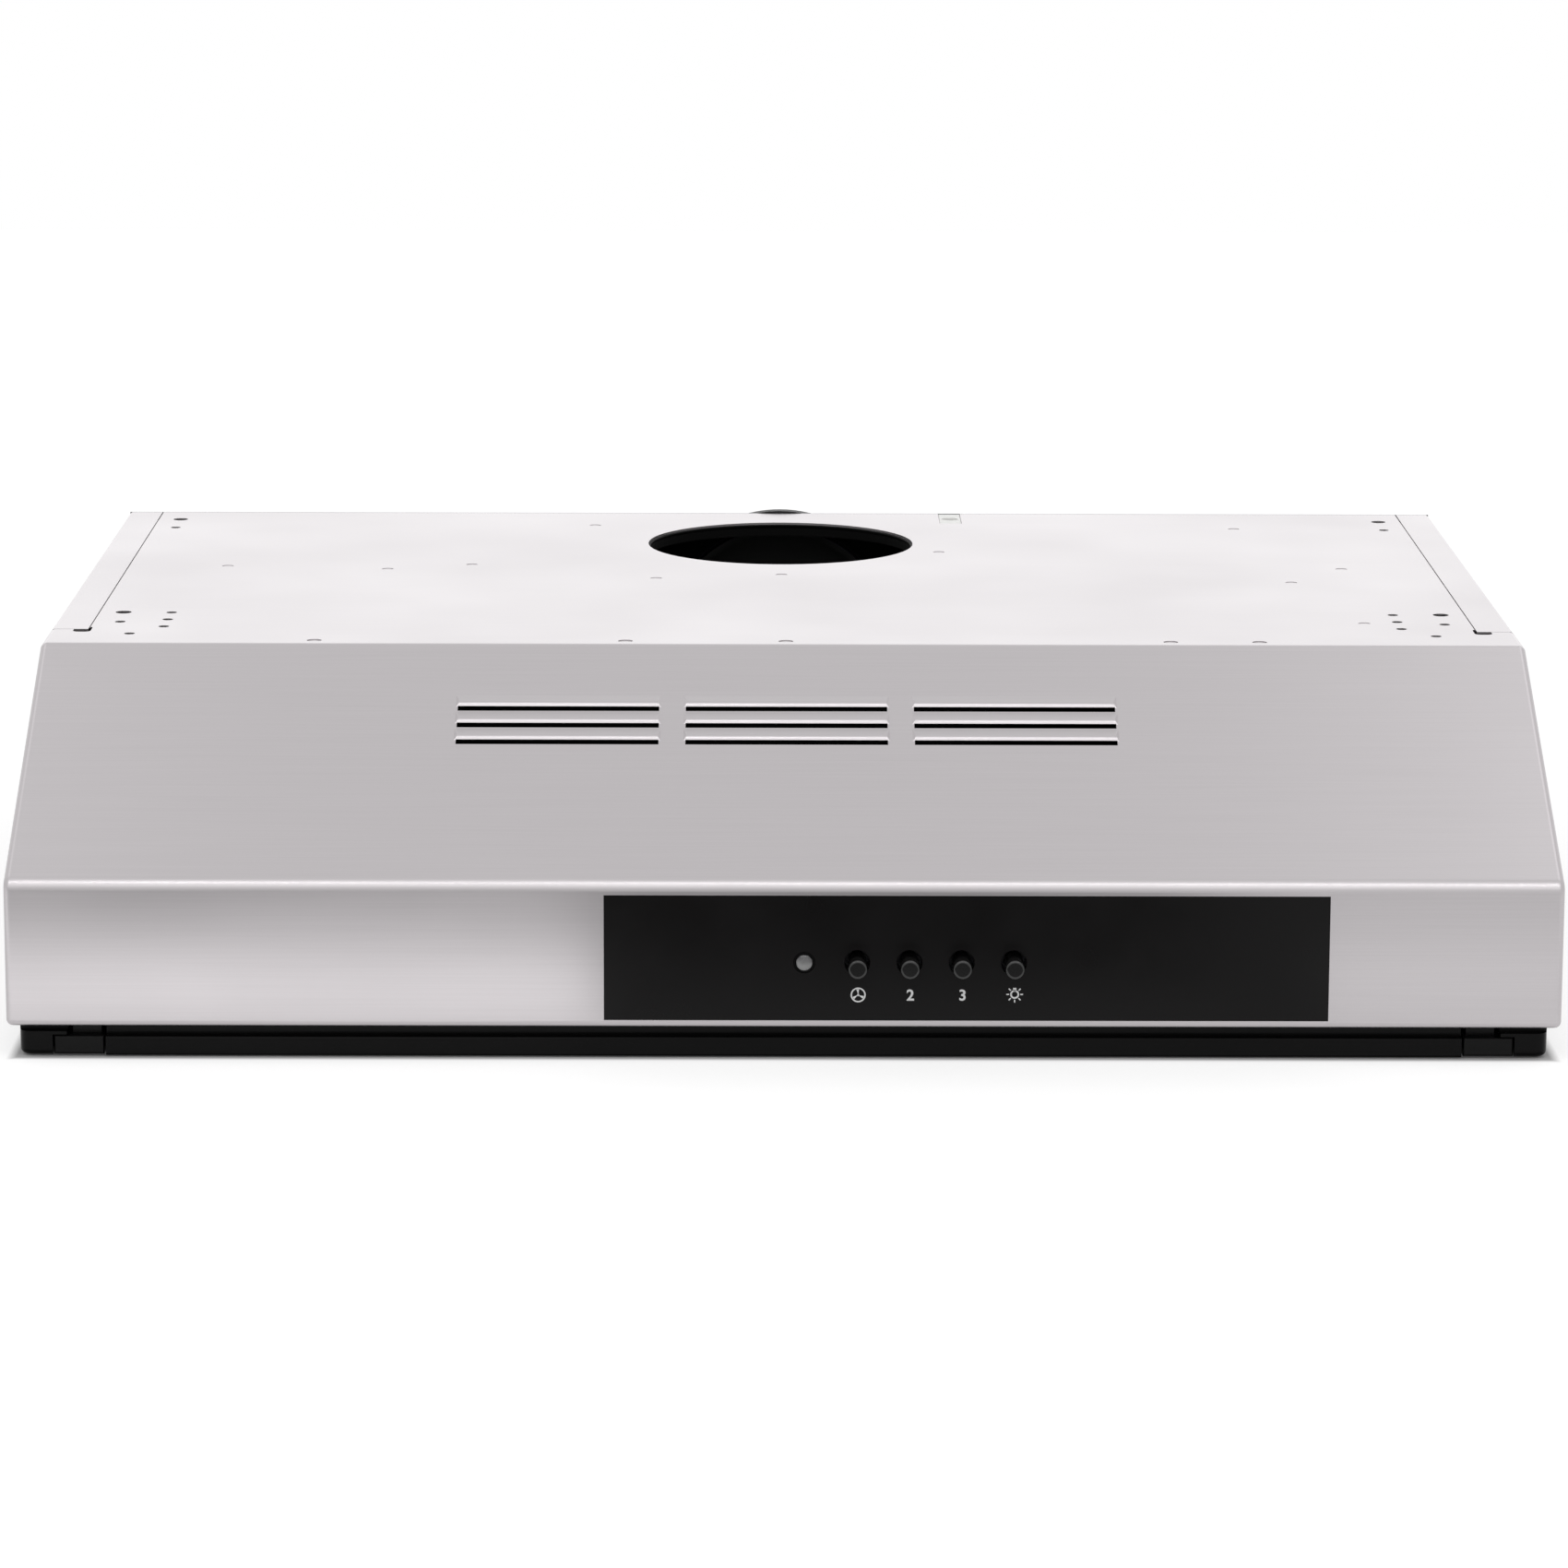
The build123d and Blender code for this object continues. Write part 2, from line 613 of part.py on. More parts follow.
def side_panel():
    """Right side panel: plate, flush top flange, bottom hem and rear flange."""
    land = Y_TOP + FRONT_LAND + SEAM_GAP
    outline = body_profile(BEND_RADIUS, Y_REAR)
    hem_start = HEM_EDGE + SEAM_GAP
    rest = [
        (hem_start, outline[2][1]), (hem_start, Z_LIP), (Y_REAR, Z_LIP), (Y_REAR, 0), (land, 0),
        (land, -BEND_RADIUS),
    ]
    plate = prism_x(outline[:3] + rest, SIDE_INNER, SIDE_OUTER)
    top = block(HALF - SIDE_FLANGE, SIDE_OUTER, land, Y_REAR, -SHEET, 0)
    hem = block(
        SIDE_INNER - HEM_WIDTH, SIDE_OUTER, hem_start, Y_BACK - HEM_REAR_CLEARANCE, Z_LIP, Z_LIP + SHEET
    )
    rear = block(
        SIDE_OUTER - REAR_FLANGE, SIDE_OUTER, Y_REAR - SHEET, Y_REAR, Z_LIP + HEM_REAR_CLEARANCE, -SHEET
    )
    panel = plate + [top, hem, rear]
    bend = [
        edge for edge in panel.edges().filter_by(Axis.Y)
        if abs(edge.center().X - SIDE_OUTER) < SHEET / 4 and abs(edge.center().Z) < SHEET / 4
    ]
    panel = fillet(bend, SIDE_BEND_RADIUS)
    return panel - back_screw_holes(SCREW_RADIUS + SCREW_HOLE_GAP)


def box_screw_x():
    return BOX_HALF - BOX_WALL - SCREW_HEAD_RADIUS - BOX_SCREW_EDGE


def back_screw_places():
    """X and Z of every screw through the back panel."""
    side_x = SIDE_OUTER - REAR_FLANGE / 2
    box_x = box_screw_x()
    places = []
    for x in (-1, 1):
        places.append((x * side_x, -SCREW_FROM_TOP - REAR_FLANGE))
        places.append((x * side_x, Z_LIP + HEM_REAR_CLEARANCE + SCREW_FROM_TOP))
        places.append((x * HINGE_X, -SCREW_FROM_TOP))
        places.append((x * HINGE_X, Z_LIP + (HINGE_FOOT_BOTTOM + HINGE_FOOT_TOP) / 2))
        places.append((x * box_x, BOX_FLOOR + BOX_WALL + SCREW_HEAD_RADIUS))
    return places


def back_screw_holes(radius):
    return [rod_y(x, Y_REAR - SCREW_LENGTH - SHEET, Y_BACK + PAST, z, radius) for x, z in back_screw_places()]


def back_panel():
    panel = block(-SIDE_OUTER, SIDE_OUTER, Y_REAR, Y_BACK, Z_LIP + BACK_RISE, 0)
    outlet = rod_y(0, Y_REAR - PAST, Y_BACK + PAST, -REAR_OUTLET_DROP, REAR_OUTLET_RADIUS)
    return panel - [outlet] - back_screw_holes(SCREW_RADIUS + SCREW_HOLE_GAP)


def back_panel_screws():
    screws = []
    for x, z in back_screw_places():
        shank = rod_y(x, Y_BACK - SCREW_LENGTH, Y_BACK, z, SCREW_RADIUS)
        head = rod_y(x, Y_BACK, Y_BACK + SCREW_HEAD_HEIGHT, z, SCREW_HEAD_RADIUS)
        screws.append(shank + head)
    return group(screws)


def rear_outlet_cap():
    rim = REAR_OUTLET_RADIUS + CAP_RIM
    plug = REAR_OUTLET_RADIUS - CAP_GAP
    disc = rod_y(0, Y_BACK, Y_BACK + CAP_DEPTH, -REAR_OUTLET_DROP, rim)
    front_edge = disc.edges().sort_by(Axis.Y)[-1]
    disc = fillet(front_edge, CAP_WALL)
    ring = rod_y(0, Y_REAR - CAP_PLUG, Y_BACK, -REAR_OUTLET_DROP, plug)
    hollow = rod_y(0, Y_REAR - CAP_PLUG, Y_BACK + CAP_DEPTH - CAP_WALL, -REAR_OUTLET_DROP, plug - CAP_WALL)
    return disc + ring - hollow


def cable_gland():
    half = INLET_WIDTH / 2 - GLAND_GAP
    y0 = Y_REAR - INLET_LENGTH + GLAND_GAP
    neck = block(INLET_OFFSET - half, INLET_OFFSET + half, y0, Y_REAR, -SHEET, -GLAND_GAP)
    base = block(
        INLET_OFFSET - half - GLAND_LIP, INLET_OFFSET + half + GLAND_LIP, y0 - GLAND_LIP, Y_REAR,
        -INLET_DEPTH, -SHEET,
    )
    bore = rod_z(INLET_OFFSET, y0 + INLET_LENGTH / 2, -INLET_DEPTH - PAST, PAST, INLET_BORE_RADIUS)
    return neck + base - bore


def button_holes(radius, y0, y1):
    return [rod_y(x, y0, y1, BUTTON_Z, radius) for x in BUTTON_XS]


def control_panel():
    face = block(
        PANEL_LEFT + PANEL_GAP, PANEL_RIGHT - PANEL_GAP, Y_LIP + PANEL_SINK, Y_LIP + SHEET,
        PANEL_BOTTOM + PANEL_GAP, PANEL_TOP - PANEL_GAP,
    )
    back = block(
        PANEL_LEFT - PANEL_SIDE_OVERLAP, PANEL_RIGHT + PANEL_SIDE_OVERLAP, Y_LIP + SHEET, PANEL_BACK,
        Z_LIP + BEND_RADIUS, PANEL_TOP + PANEL_TOP_OVERLAP,
    )
    panel = face + back
    panel -= button_holes(BUTTON_BORE, Y_LIP - PAST, PANEL_BACK + PAST)
    panel -= [rod_y(PILOT_OFFSET, Y_LIP - PAST, PANEL_BACK + PAST, BUTTON_Z, PILOT_RADIUS + PILOT_GAP)]
    panel -= panel_studs(PANEL_STUD_RADIUS + PANEL_GAP, Y_LIP, PANEL_BACK + PAST)
    panel -= switch_screw_rods(SWITCH_SCREW_RADIUS, PANEL_BACK - SWITCH_SCREW_BITE)
    return panel


def panel_nuts():
    nuts = []
    for stud in panel_studs(PANEL_STUD_RADIUS + NUT_GAP, PANEL_BACK, PANEL_BACK + PANEL_NUT_THICKNESS):
        centre = stud.center()
        nut = hex_prism_y(
            centre.X, PANEL_BACK, PANEL_BACK + PANEL_NUT_THICKNESS, centre.Z, PANEL_NUT_FLATS
        )
        nuts.append(nut - stud)
    return group(nuts)


def switch_screw_places():
    z = BUTTON_Z + SWITCH_HEIGHT / 2 + SWITCH_EAR / 2
    return [(BUTTON_XS[0], z), (BUTTON_XS[-1], z)]


def switch_screw_rods(radius, y0):
    y1 = PANEL_BACK + SWITCH_EAR_THICKNESS
    return [rod_y(x, y0, y1, z, radius) for x, z in switch_screw_places()]


def switch_block():
    block_top = BUTTON_Z + SWITCH_HEIGHT / 2
    solid = block(
        BUTTON_XS[0] - SWITCH_MARGIN, BUTTON_XS[-1] + SWITCH_MARGIN, PANEL_BACK, PANEL_BACK + SWITCH_DEPTH,
        BUTTON_Z - SWITCH_HEIGHT / 2, block_top,
    )
    ears = [
        block(
            x - SWITCH_EAR / 2, x + SWITCH_EAR / 2, PANEL_BACK, PANEL_BACK + SWITCH_EAR_THICKNESS,
            block_top, block_top + SWITCH_EAR,
        )
        for x, z in switch_screw_places()
    ]
    solid += ears
    solid -= switch_screw_rods(SWITCH_SCREW_RADIUS + PANEL_GAP, PANEL_BACK - PAST)
    seat = BUTTON_SEAT + BUTTON_TRAVEL + BUTTON_END_GAP
    stem = BUTTON_SEAT + BUTTON_STEM_LENGTH + BUTTON_TRAVEL + BUTTON_END_GAP
    solid -= button_holes(BUTTON_BORE, PANEL_BACK - PAST, PANEL_BACK + seat)
    solid -= button_holes(BUTTON_STEM_RADIUS + BUTTON_STEM_GAP, PANEL_BACK, PANEL_BACK + stem)
    return solid


def switch_screws():
    heads = []
    y0 = PANEL_BACK + SWITCH_EAR_THICKNESS
    for shank in switch_screw_rods(SWITCH_SCREW_RADIUS, PANEL_BACK - SWITCH_SCREW_BITE):
        centre = shank.center()
        head = rod_y(centre.X, y0, y0 + SWITCH_SCREW_HEAD_HEIGHT, centre.Z, SWITCH_SCREW_HEAD)
        heads.append(shank + head)
    return group(heads)


def button(x):
    cap = rod_y(x, Y_LIP - BUTTON_PROUD, PANEL_BACK + BUTTON_SEAT, BUTTON_Z, BUTTON_RADIUS)
    front_edge = cap.edges().sort_by(Axis.Y)[0]
    cap = fillet(front_edge, BUTTON_EDGE)
    seat = PANEL_BACK + BUTTON_SEAT
    return cap + rod_y(x, seat, seat + BUTTON_STEM_LENGTH, BUTTON_Z, BUTTON_STEM_RADIUS)


def pilot_lens():
    lens = rod_y(PILOT_OFFSET, Y_LIP + PANEL_SINK - PILOT_PROUD, PANEL_BACK, BUTTON_Z, PILOT_RADIUS)
    front_edge = lens.edges().sort_by(Axis.Y)[0]
    flange_back = PANEL_BACK + PILOT_FLANGE_THICKNESS
    flange_radius = PILOT_RADIUS + PILOT_GAP + PILOT_FLANGE_LAP
    flange = rod_y(PILOT_OFFSET, PANEL_BACK, flange_back, BUTTON_Z, flange_radius)
    return fillet(front_edge, PILOT_ROUND) + flange


def pilot_lamp():
    front = PANEL_BACK + PILOT_FLANGE_THICKNESS
    return rod_y(PILOT_OFFSET, front, front + PILOT_LAMP_LENGTH, BUTTON_Z, PILOT_LAMP_RADIUS)


def scroll_quarters():
    """Centre, radius and start angle of the four quarter arcs of the growing scroll."""
    step = SCROLL_STEP
    centres = [(0, 0), (0, -step), (step, -step), (step, 0)]
    return [
        (FAN_X + x, FAN_Y + y, SCROLL_RADIUS + i * step, 90 * i)
        for i, (x, y) in enumerate(centres)
    ]


def scroll_face(grow, duct_end):
    arcs = []
    for x, y, radius, start in scroll_quarters():
        arcs.append(CenterArc((x, y), radius + grow, start, 90))
    closing = Line(arcs[-1] @ 1, arcs[0] @ 0)
    scroll = make_face(Curve() + arcs + [closing])
    width = DUCT_WIDTH + 2 * grow
    length = duct_end - FAN_Y
    centre = (DUCT_RIGHT - DUCT_WIDTH / 2, FAN_Y + length / 2)
    return scroll + Pos(*centre) * Rectangle(width, length)


def lug_places():
    """Three lugs on the scroll, clear of its outlet."""
    places = []
    for x, y, radius, start in scroll_quarters()[1:]:
        angle = math.radians(start + 45)
        reach = radius + VOLUTE_WALL + LUG_OFFSET
        places.append((x + reach * math.cos(angle), y + reach * math.sin(angle)))
    return places


def lug_rods(radius, z0, z1):
    return [rod_z(x, y, z0, z1, radius) for x, y in lug_places()]


def motor_screw_places():
    places = []
    for i in range(MOTOR_SCREW_COUNT):
        angle = math.radians(360 / MOTOR_SCREW_COUNT * i)
        x = FAN_X + MOTOR_SCREW_CIRCLE * math.cos(angle)
        places.append((x, FAN_Y + MOTOR_SCREW_CIRCLE * math.sin(angle)))
    return places


def motor_screw_rods(radius, z0, z1):
    return [rod_z(x, y, z0, z1, radius) for x, y in motor_screw_places()]


def volute_housing():
    duct_end = BOX_FRONT + BOX_WALL + DUCT_INSERT
    outer = Pos(0, 0, VOLUTE_BOTTOM) * extrude(scroll_face(VOLUTE_WALL, duct_end), VOLUTE_HEIGHT)
    lugs = lug_rods(LUG_RADIUS, VOLUTE_BOTTOM, VOLUTE_TOP)
    inside = scroll_face(0, duct_end + PAST)
    inner = Pos(0, 0, VOLUTE_BOTTOM - PAST) * extrude(inside, VOLUTE_HEIGHT + PAST - VOLUTE_WALL)
    housing = outer + lugs - [inner]
    housing -= lug_rods(STUD_RADIUS + STUD_GAP, VOLUTE_BOTTOM - PAST, VOLUTE_TOP + PAST)
    return housing - motor_screw_rods(MOTOR_SCREW_RADIUS + MOTOR_SCREW_GAP, MOTOR_Z - PAST, VOLUTE_TOP + PAST)


def volute_cover():
    plate = extrude(scroll_face(VOLUTE_WALL, BOX_FRONT - DUCT_GAP), COVER_THICKNESS)
    plate = Pos(0, 0, COVER_BOTTOM) * plate
    ears = lug_rods(LUG_RADIUS, COVER_BOTTOM, VOLUTE_BOTTOM)
    bell = rod_z(FAN_X, FAN_Y, COVER_BOTTOM, VOLUTE_BOTTOM + BELL_HEIGHT, INLET_RADIUS + BELL_WALL)
    inlet = rod_z(FAN_X, FAN_Y, COVER_BOTTOM - PAST, VOLUTE_BOTTOM + BELL_HEIGHT + PAST, INLET_RADIUS)
    cover = plate + ears + [bell] - [inlet]
    return cover - lug_rods(STUD_RADIUS + STUD_GAP, COVER_BOTTOM - PAST, VOLUTE_BOTTOM + PAST)


def blower_grommets():
    inner = STUD_RADIUS + STUD_GAP
    outer = LUG_RADIUS - GROMMET_EDGE
    return group([tube_z(x, y, VOLUTE_TOP, -SHEET, outer, inner) for x, y in lug_places()])


def blower_studs():
    return group(lug_rods(STUD_RADIUS, COVER_BOTTOM - STUD_END, -SHEET))


def blower_nuts():
    nuts = []
    for x, y in lug_places():
        nut = hex_prism_z(x, y, COVER_BOTTOM - NUT_THICKNESS, COVER_BOTTOM, NUT_FLATS)
        nuts.append(nut - rod_z(x, y, COVER_BOTTOM - PAST, COVER_BOTTOM + PAST, STUD_RADIUS + NUT_GAP))
    return group(nuts)


def inlet_guard():
    z0 = COVER_BOTTOM - GUARD_THICKNESS
    outer = INLET_RADIUS + GUARD_RIM
    guard = tube_z(FAN_X, FAN_Y, z0, COVER_BOTTOM, outer, INLET_RADIUS - GUARD_BAR)
    pitch = 2 * INLET_RADIUS / (GUARD_BARS + 1)
    half = GUARD_BAR / 2
    for i in range(GUARD_BARS):
        offset = pitch * (i + 1) - INLET_RADIUS
        y = FAN_Y + offset
        reach = math.sqrt(INLET_RADIUS ** 2 - offset ** 2)
        guard += block(FAN_X - reach, FAN_X + reach, y - half, y + half, z0, COVER_BOTTOM)
    return guard


def motor_can():
    can = rod_z(FAN_X, FAN_Y, MOTOR_BOTTOM, MOTOR_Z, MOTOR_RADIUS)
    can -= rod_z(FAN_X, FAN_Y, MOTOR_BOTTOM - PAST, BEARING_TOP, MOTOR_RADIUS - MOTOR_WALL)
    boss = BEARING_RADIUS + BEARING_BOSS
    can += tube_z(FAN_X, FAN_Y, BEARING_TOP - BEARING_LENGTH, BEARING_TOP, boss, BEARING_RADIUS)
    return can - motor_screw_rods(MOTOR_SCREW_RADIUS, MOTOR_Z - MOTOR_SCREW_BITE, MOTOR_Z + PAST)


def motor_end_plate():
    plate_top = MOTOR_BOTTOM + MOTOR_PLATE
    plate = rod_z(FAN_X, FAN_Y, MOTOR_BOTTOM, plate_top, MOTOR_RADIUS - MOTOR_WALL)
    boss = rod_z(FAN_X, FAN_Y, plate_top, plate_top + BEARING_LENGTH, BEARING_RADIUS + BEARING_BOSS)
    seat = rod_z(FAN_X, FAN_Y, plate_top, plate_top + BEARING_LENGTH + PAST, BEARING_RADIUS)
    shaft_hole = rod_z(FAN_X, FAN_Y, MOTOR_BOTTOM - PAST, plate_top, SHAFT_RADIUS + SHEET)
    return plate + boss - [seat, shaft_hole]


def motor_bearings():
    plate_top = MOTOR_BOTTOM + MOTOR_PLATE
    bore = SHAFT_RADIUS + SHAFT_FIT
    upper = tube_z(FAN_X, FAN_Y, BEARING_TOP - BEARING_LENGTH, BEARING_TOP, BEARING_RADIUS, bore)
    lower = tube_z(FAN_X, FAN_Y, plate_top, plate_top + BEARING_LENGTH, BEARING_RADIUS, bore)
    return group([upper, lower])


def core_span():
    middle = (BEARING_TOP + MOTOR_BOTTOM + MOTOR_PLATE) / 2
    return middle - CORE_HEIGHT / 2, middle + CORE_HEIGHT / 2


def stator_core():
    low, high = core_span()
    return tube_z(FAN_X, FAN_Y, low, high, MOTOR_RADIUS - MOTOR_WALL, ROTOR_RADIUS + ROTOR_GAP)


def rotor_core():
    low, high = core_span()
    return tube_z(FAN_X, FAN_Y, low, high, ROTOR_RADIUS, SHAFT_RADIUS)


def motor_shaft():
    return rod_z(FAN_X, FAN_Y, MOTOR_BOTTOM - SHAFT_END, BEARING_TOP - SHEET, SHAFT_RADIUS)


def motor_screws():
    screws = []
    for x, y in motor_screw_places():
        shank = rod_z(x, y, MOTOR_Z - MOTOR_SCREW_BITE, VOLUTE_TOP, MOTOR_SCREW_RADIUS)
        head = rod_z(x, y, VOLUTE_TOP, VOLUTE_TOP + MOTOR_SCREW_HEAD_HEIGHT, MOTOR_SCREW_HEAD)
        screws.append(shank + head)
    return group(screws)


def impeller():
    top = MOTOR_Z - IMPELLER_TOP_GAP
    bottom = top - IMPELLER_WIDTH
    cup = MOTOR_RADIUS + IMPELLER_CUP_GAP
    sheet = IMPELLER_SHEET
    profile = Plane.XZ * Polygon(
        (SHAFT_RADIUS, HUB_TOP - HUB_HEIGHT), (HUB_RADIUS, HUB_TOP - HUB_HEIGHT),
        (HUB_RADIUS, HUB_TOP - sheet), (cup + sheet, HUB_TOP - sheet), (cup + sheet, top - sheet),
        (IMPELLER_RADIUS, top - sheet), (IMPELLER_RADIUS, top), (cup, top), (cup, HUB_TOP),
        (SHAFT_RADIUS, HUB_TOP),
        align=None,
    )
    wheel = revolve(profile, Axis.Z)
    wheel += tube_z(0, 0, bottom, bottom + sheet, IMPELLER_RADIUS, IMPELLER_RADIUS - BLADE_DEPTH)
    span = top - bottom - 2 * sheet
    lean = math.radians(BLADE_ANGLE)
    middle = IMPELLER_RADIUS - BLADE_DEPTH * math.cos(lean) / 2 - BLADE_THICKNESS
    blade = Pos(middle, 0, bottom + sheet + span / 2) * Rot(0, 0, BLADE_ANGLE)
    blade *= Box(BLADE_DEPTH, BLADE_THICKNESS, span)
    wheel += [Rot(0, 0, 360 / BLADE_COUNT * i) * blade for i in range(BLADE_COUNT)]
    return Pos(FAN_X, FAN_Y, 0) * wheel


def shaft_nut():
    top = HUB_TOP - HUB_HEIGHT
    nut = hex_prism_z(FAN_X, FAN_Y, top - SHAFT_NUT_HEIGHT, top, SHAFT_NUT_FLATS)
    return nut - rod_z(FAN_X, FAN_Y, top - 2 * SHAFT_NUT_HEIGHT, top + PAST, SHAFT_RADIUS)


def capacitor():
    x = -CAPACITOR_OFFSET
    y = Y_BACK - CAPACITOR_FROM_BACK
    can = rod_z(x, y, -SHEET - CAPACITOR_HEIGHT, -SHEET, CAPACITOR_RADIUS)
    return fillet(can.edges().group_by(Axis.Z)[0], CAPACITOR_ROUND)


def outlet_box():
    """A box open above and behind, screwed to the back panel through two gussets."""
    box = block(-BOX_HALF, BOX_HALF, BOX_FRONT, Y_REAR, BOX_FLOOR, -SHEET)
    box -= block(
        -BOX_HALF + BOX_WALL, BOX_HALF - BOX_WALL, BOX_FRONT + BOX_WALL, Y_REAR + PAST,
        BOX_FLOOR + BOX_WALL, PAST,
    )
    gusset_side = min(FLAP_X - FLAP_SHAFT_RADIUS, box_screw_x() - SCREW_RADIUS) - GUSSET_EDGE
    gusset_top = FLAP_Z + FLAP_SHAFT_RADIUS + GUSSET_EDGE
    box += both_sides(block(gusset_side, BOX_HALF, Y_REAR - BOX_WALL, Y_REAR, BOX_FLOOR, gusset_top))
    box -= rod_y(0, Y_REAR - 2 * BOX_WALL, Y_REAR + PAST, -REAR_OUTLET_DROP, REAR_OUTLET_RADIUS)
    reach = VOLUTE_WALL + DUCT_GAP
    box -= block(
        DUCT_RIGHT - DUCT_WIDTH - reach, DUCT_RIGHT + reach, BOX_FRONT - PAST, BOX_FRONT + 2 * BOX_WALL,
        VOLUTE_BOTTOM - DUCT_GAP, VOLUTE_TOP + DUCT_GAP,
    )
    box -= block(
        BOX_HALF - 2 * BOX_WALL, BOX_HALF + PAST, OUTLET_Y - WINDOW_HALF, OUTLET_Y + WINDOW_HALF,
        -WINDOW_BOTTOM, -WINDOW_TOP,
    )
    box -= rod_y(FLAP_X, BOX_FRONT - PAST, Y_REAR + PAST, FLAP_Z, FLAP_SHAFT_RADIUS + FLAP_SHAFT_FIT)
    return box - back_screw_holes(SCREW_RADIUS)


def diverter_shaft():
    front = BOX_FRONT - LEVER_GAP - LEVER_THICKNESS
    return rod_y(FLAP_X, front, Y_REAR - SHEET, FLAP_Z, FLAP_SHAFT_RADIUS)


def diverter_flap():
    y0 = OUTLET_Y - WINDOW_HALF - FLAP_LAP
    y1 = OUTLET_Y + WINDOW_HALF + FLAP_LAP
    sleeve = rod_y(FLAP_X, y0, y1, FLAP_Z, FLAP_SHAFT_RADIUS + FLAP_SLEEVE)
    face = FLAP_X + FLAP_SHAFT_RADIUS + FLAP_SLEEVE
    plate = block(face - FLAP_THICKNESS, face, y0, y1, FLAP_Z, -WINDOW_TOP + FLAP_LAP)
    return sleeve + plate - rod_y(FLAP_X, y0 - PAST, y1 + PAST, FLAP_Z, FLAP_SHAFT_RADIUS)


def diverter_lever():
    y1 = BOX_FRONT - LEVER_GAP
    y0 = y1 - LEVER_THICKNESS
    low = FLAP_Z - LEVER_LENGTH
    half = LEVER_WIDTH / 2
    lever = rod_y(FLAP_X, y0, y1, FLAP_Z, LEVER_RADIUS)
    lever += block(FLAP_X - half, FLAP_X + half, y0, y1, low, FLAP_Z)
    lever += rod_y(FLAP_X, y0, y1, low, half)
    return lever - rod_y(FLAP_X, y0 - PAST, y1 + PAST, FLAP_Z, FLAP_SHAFT_RADIUS)


def recirc_plan(inset):
    """Plan of the duct: out of the outlet box, forwards, then across behind the louvres."""
    right = BOX_HALF + RECIRC_REACH - inset
    left = LOUVRE_OFFSET - LOUVRE_GROUPS * (LOUVRE_LENGTH + LOUVRE_GAP) / 2 - RECIRC_LOUVRE_MARGIN + inset
    rear = OUTLET_Y + WINDOW_HALF + RECIRC_LAP - inset
    near = OUTLET_Y - WINDOW_HALF - RECIRC_LAP + inset
    along = math.cos(SLOPE_ANGLE)
    last = LOUVRE_FROM_BEND + (LOUVRE_ROWS - 1) * LOUVRE_PITCH + LOUVRE_STRIP
    front = Y_TOP - (last + RECIRC_LOUVRE_MARGIN) * along + inset
    back = Y_TOP - (LOUVRE_FROM_BEND - RECIRC_LOUVRE_MARGIN) * along - inset
    inner = right - RECIRC_WIDTH + 2 * inset
    box_side = BOX_HALF if inset == 0 else BOX_HALF - PAST
    return Polygon(
        (left, front), (right, front), (right, rear), (box_side, rear), (box_side, near), (inner, near),
        (inner, back), (left, back),
        align=None,
    )


def recirculation_duct():
    low = -WINDOW_BOTTOM - RECIRC_LAP
    high = -WINDOW_TOP + RECIRC_LAP
    outer = Pos(0, 0, low) * extrude(recirc_plan(0), amount=high - low, dir=(0, 0, 1))
    inner = extrude(recirc_plan(RECIRC_WALL), amount=high - low - 2 * RECIRC_WALL, dir=(0, 0, 1))
    inner = Pos(0, 0, low + RECIRC_WALL) * inner
    under_slope = prism_x(body_profile(SHEET, Y_REAR), -HALF, HALF)
    return (outer - inner) & under_slope


def terminal_place():
    x0 = BOX_HALF + TERMINAL_GAP
    y1 = Y_REAR - TERMINAL_FROM_BACK
    return x0, x0 + TERMINAL_WIDTH, y1 - TERMINAL_DEPTH, y1


def terminal_box():
    x0, x1, y0, y1 = terminal_place()
    wall = TERMINAL_WALL
    box = block(x0, x1, y0, y1, -SHEET - TERMINAL_HEIGHT, -SHEET)
    return box - block(
        x0 + wall, x1 - wall, y0 + wall, y1 - wall, -SHEET - TERMINAL_HEIGHT - PAST, -SHEET - wall
    )


def terminal_lid():
    x0, x1, y0, y1 = terminal_place()
    low = -SHEET - TERMINAL_HEIGHT
    return block(x0, x1, y0, y1, low - TERMINAL_LID, low)


def lamp_bracket():
    y = Y_LIP + LAMP_FROM_LIP
    z = Z_LIP + LAMP_RISE
    half = LAMP_BRACKET_WIDTH / 2
    rise = LAMP_BRACKET_HEIGHT / 2
    return block(SIDE_INNER - LAMP_BRACKET, SIDE_INNER, y - half, y + half, z - rise, z + rise)


def lamp_holder():
    x1 = SIDE_INNER - LAMP_BRACKET
    return rod_x(x1 - HOLDER_LENGTH, x1, Y_LIP + LAMP_FROM_LIP, Z_LIP + LAMP_RISE, HOLDER_RADIUS)


def lamp_bulb():
    y = Y_LIP + LAMP_FROM_LIP
    z = Z_LIP + LAMP_RISE
    neck_end = SIDE_INNER - LAMP_BRACKET - HOLDER_LENGTH
    glass_end = neck_end - BULB_NECK
    glass = rod_x(glass_end - BULB_LENGTH, glass_end, y, z, BULB_RADIUS)
    glass = fillet(glass.edges().filter_by(GeomType.CIRCLE), BULB_ROUND)
    return glass + rod_x(glass_end - SHEET, neck_end, y, z, BULB_NECK_RADIUS)


def groove(y0, y1):
    """Room in the rails for a sheet that reaches from y0 to y1."""
    gap = GROOVE_END_GAP
    return block(-GRID_X - gap, GRID_X + gap, y0 - gap, y1 + gap, GRID_BOTTOM, GRID_TOP + GROOVE_TOP_GAP)


def lamp_panel_span():
    return FRONT_RAIL_BACK - GROOVE_DEPTH, CROSS_FRONT + GROOVE_DEPTH


def grid_span():
    return CROSS_REAR - GROOVE_DEPTH, REAR_RAIL_FRONT + GROOVE_DEPTH


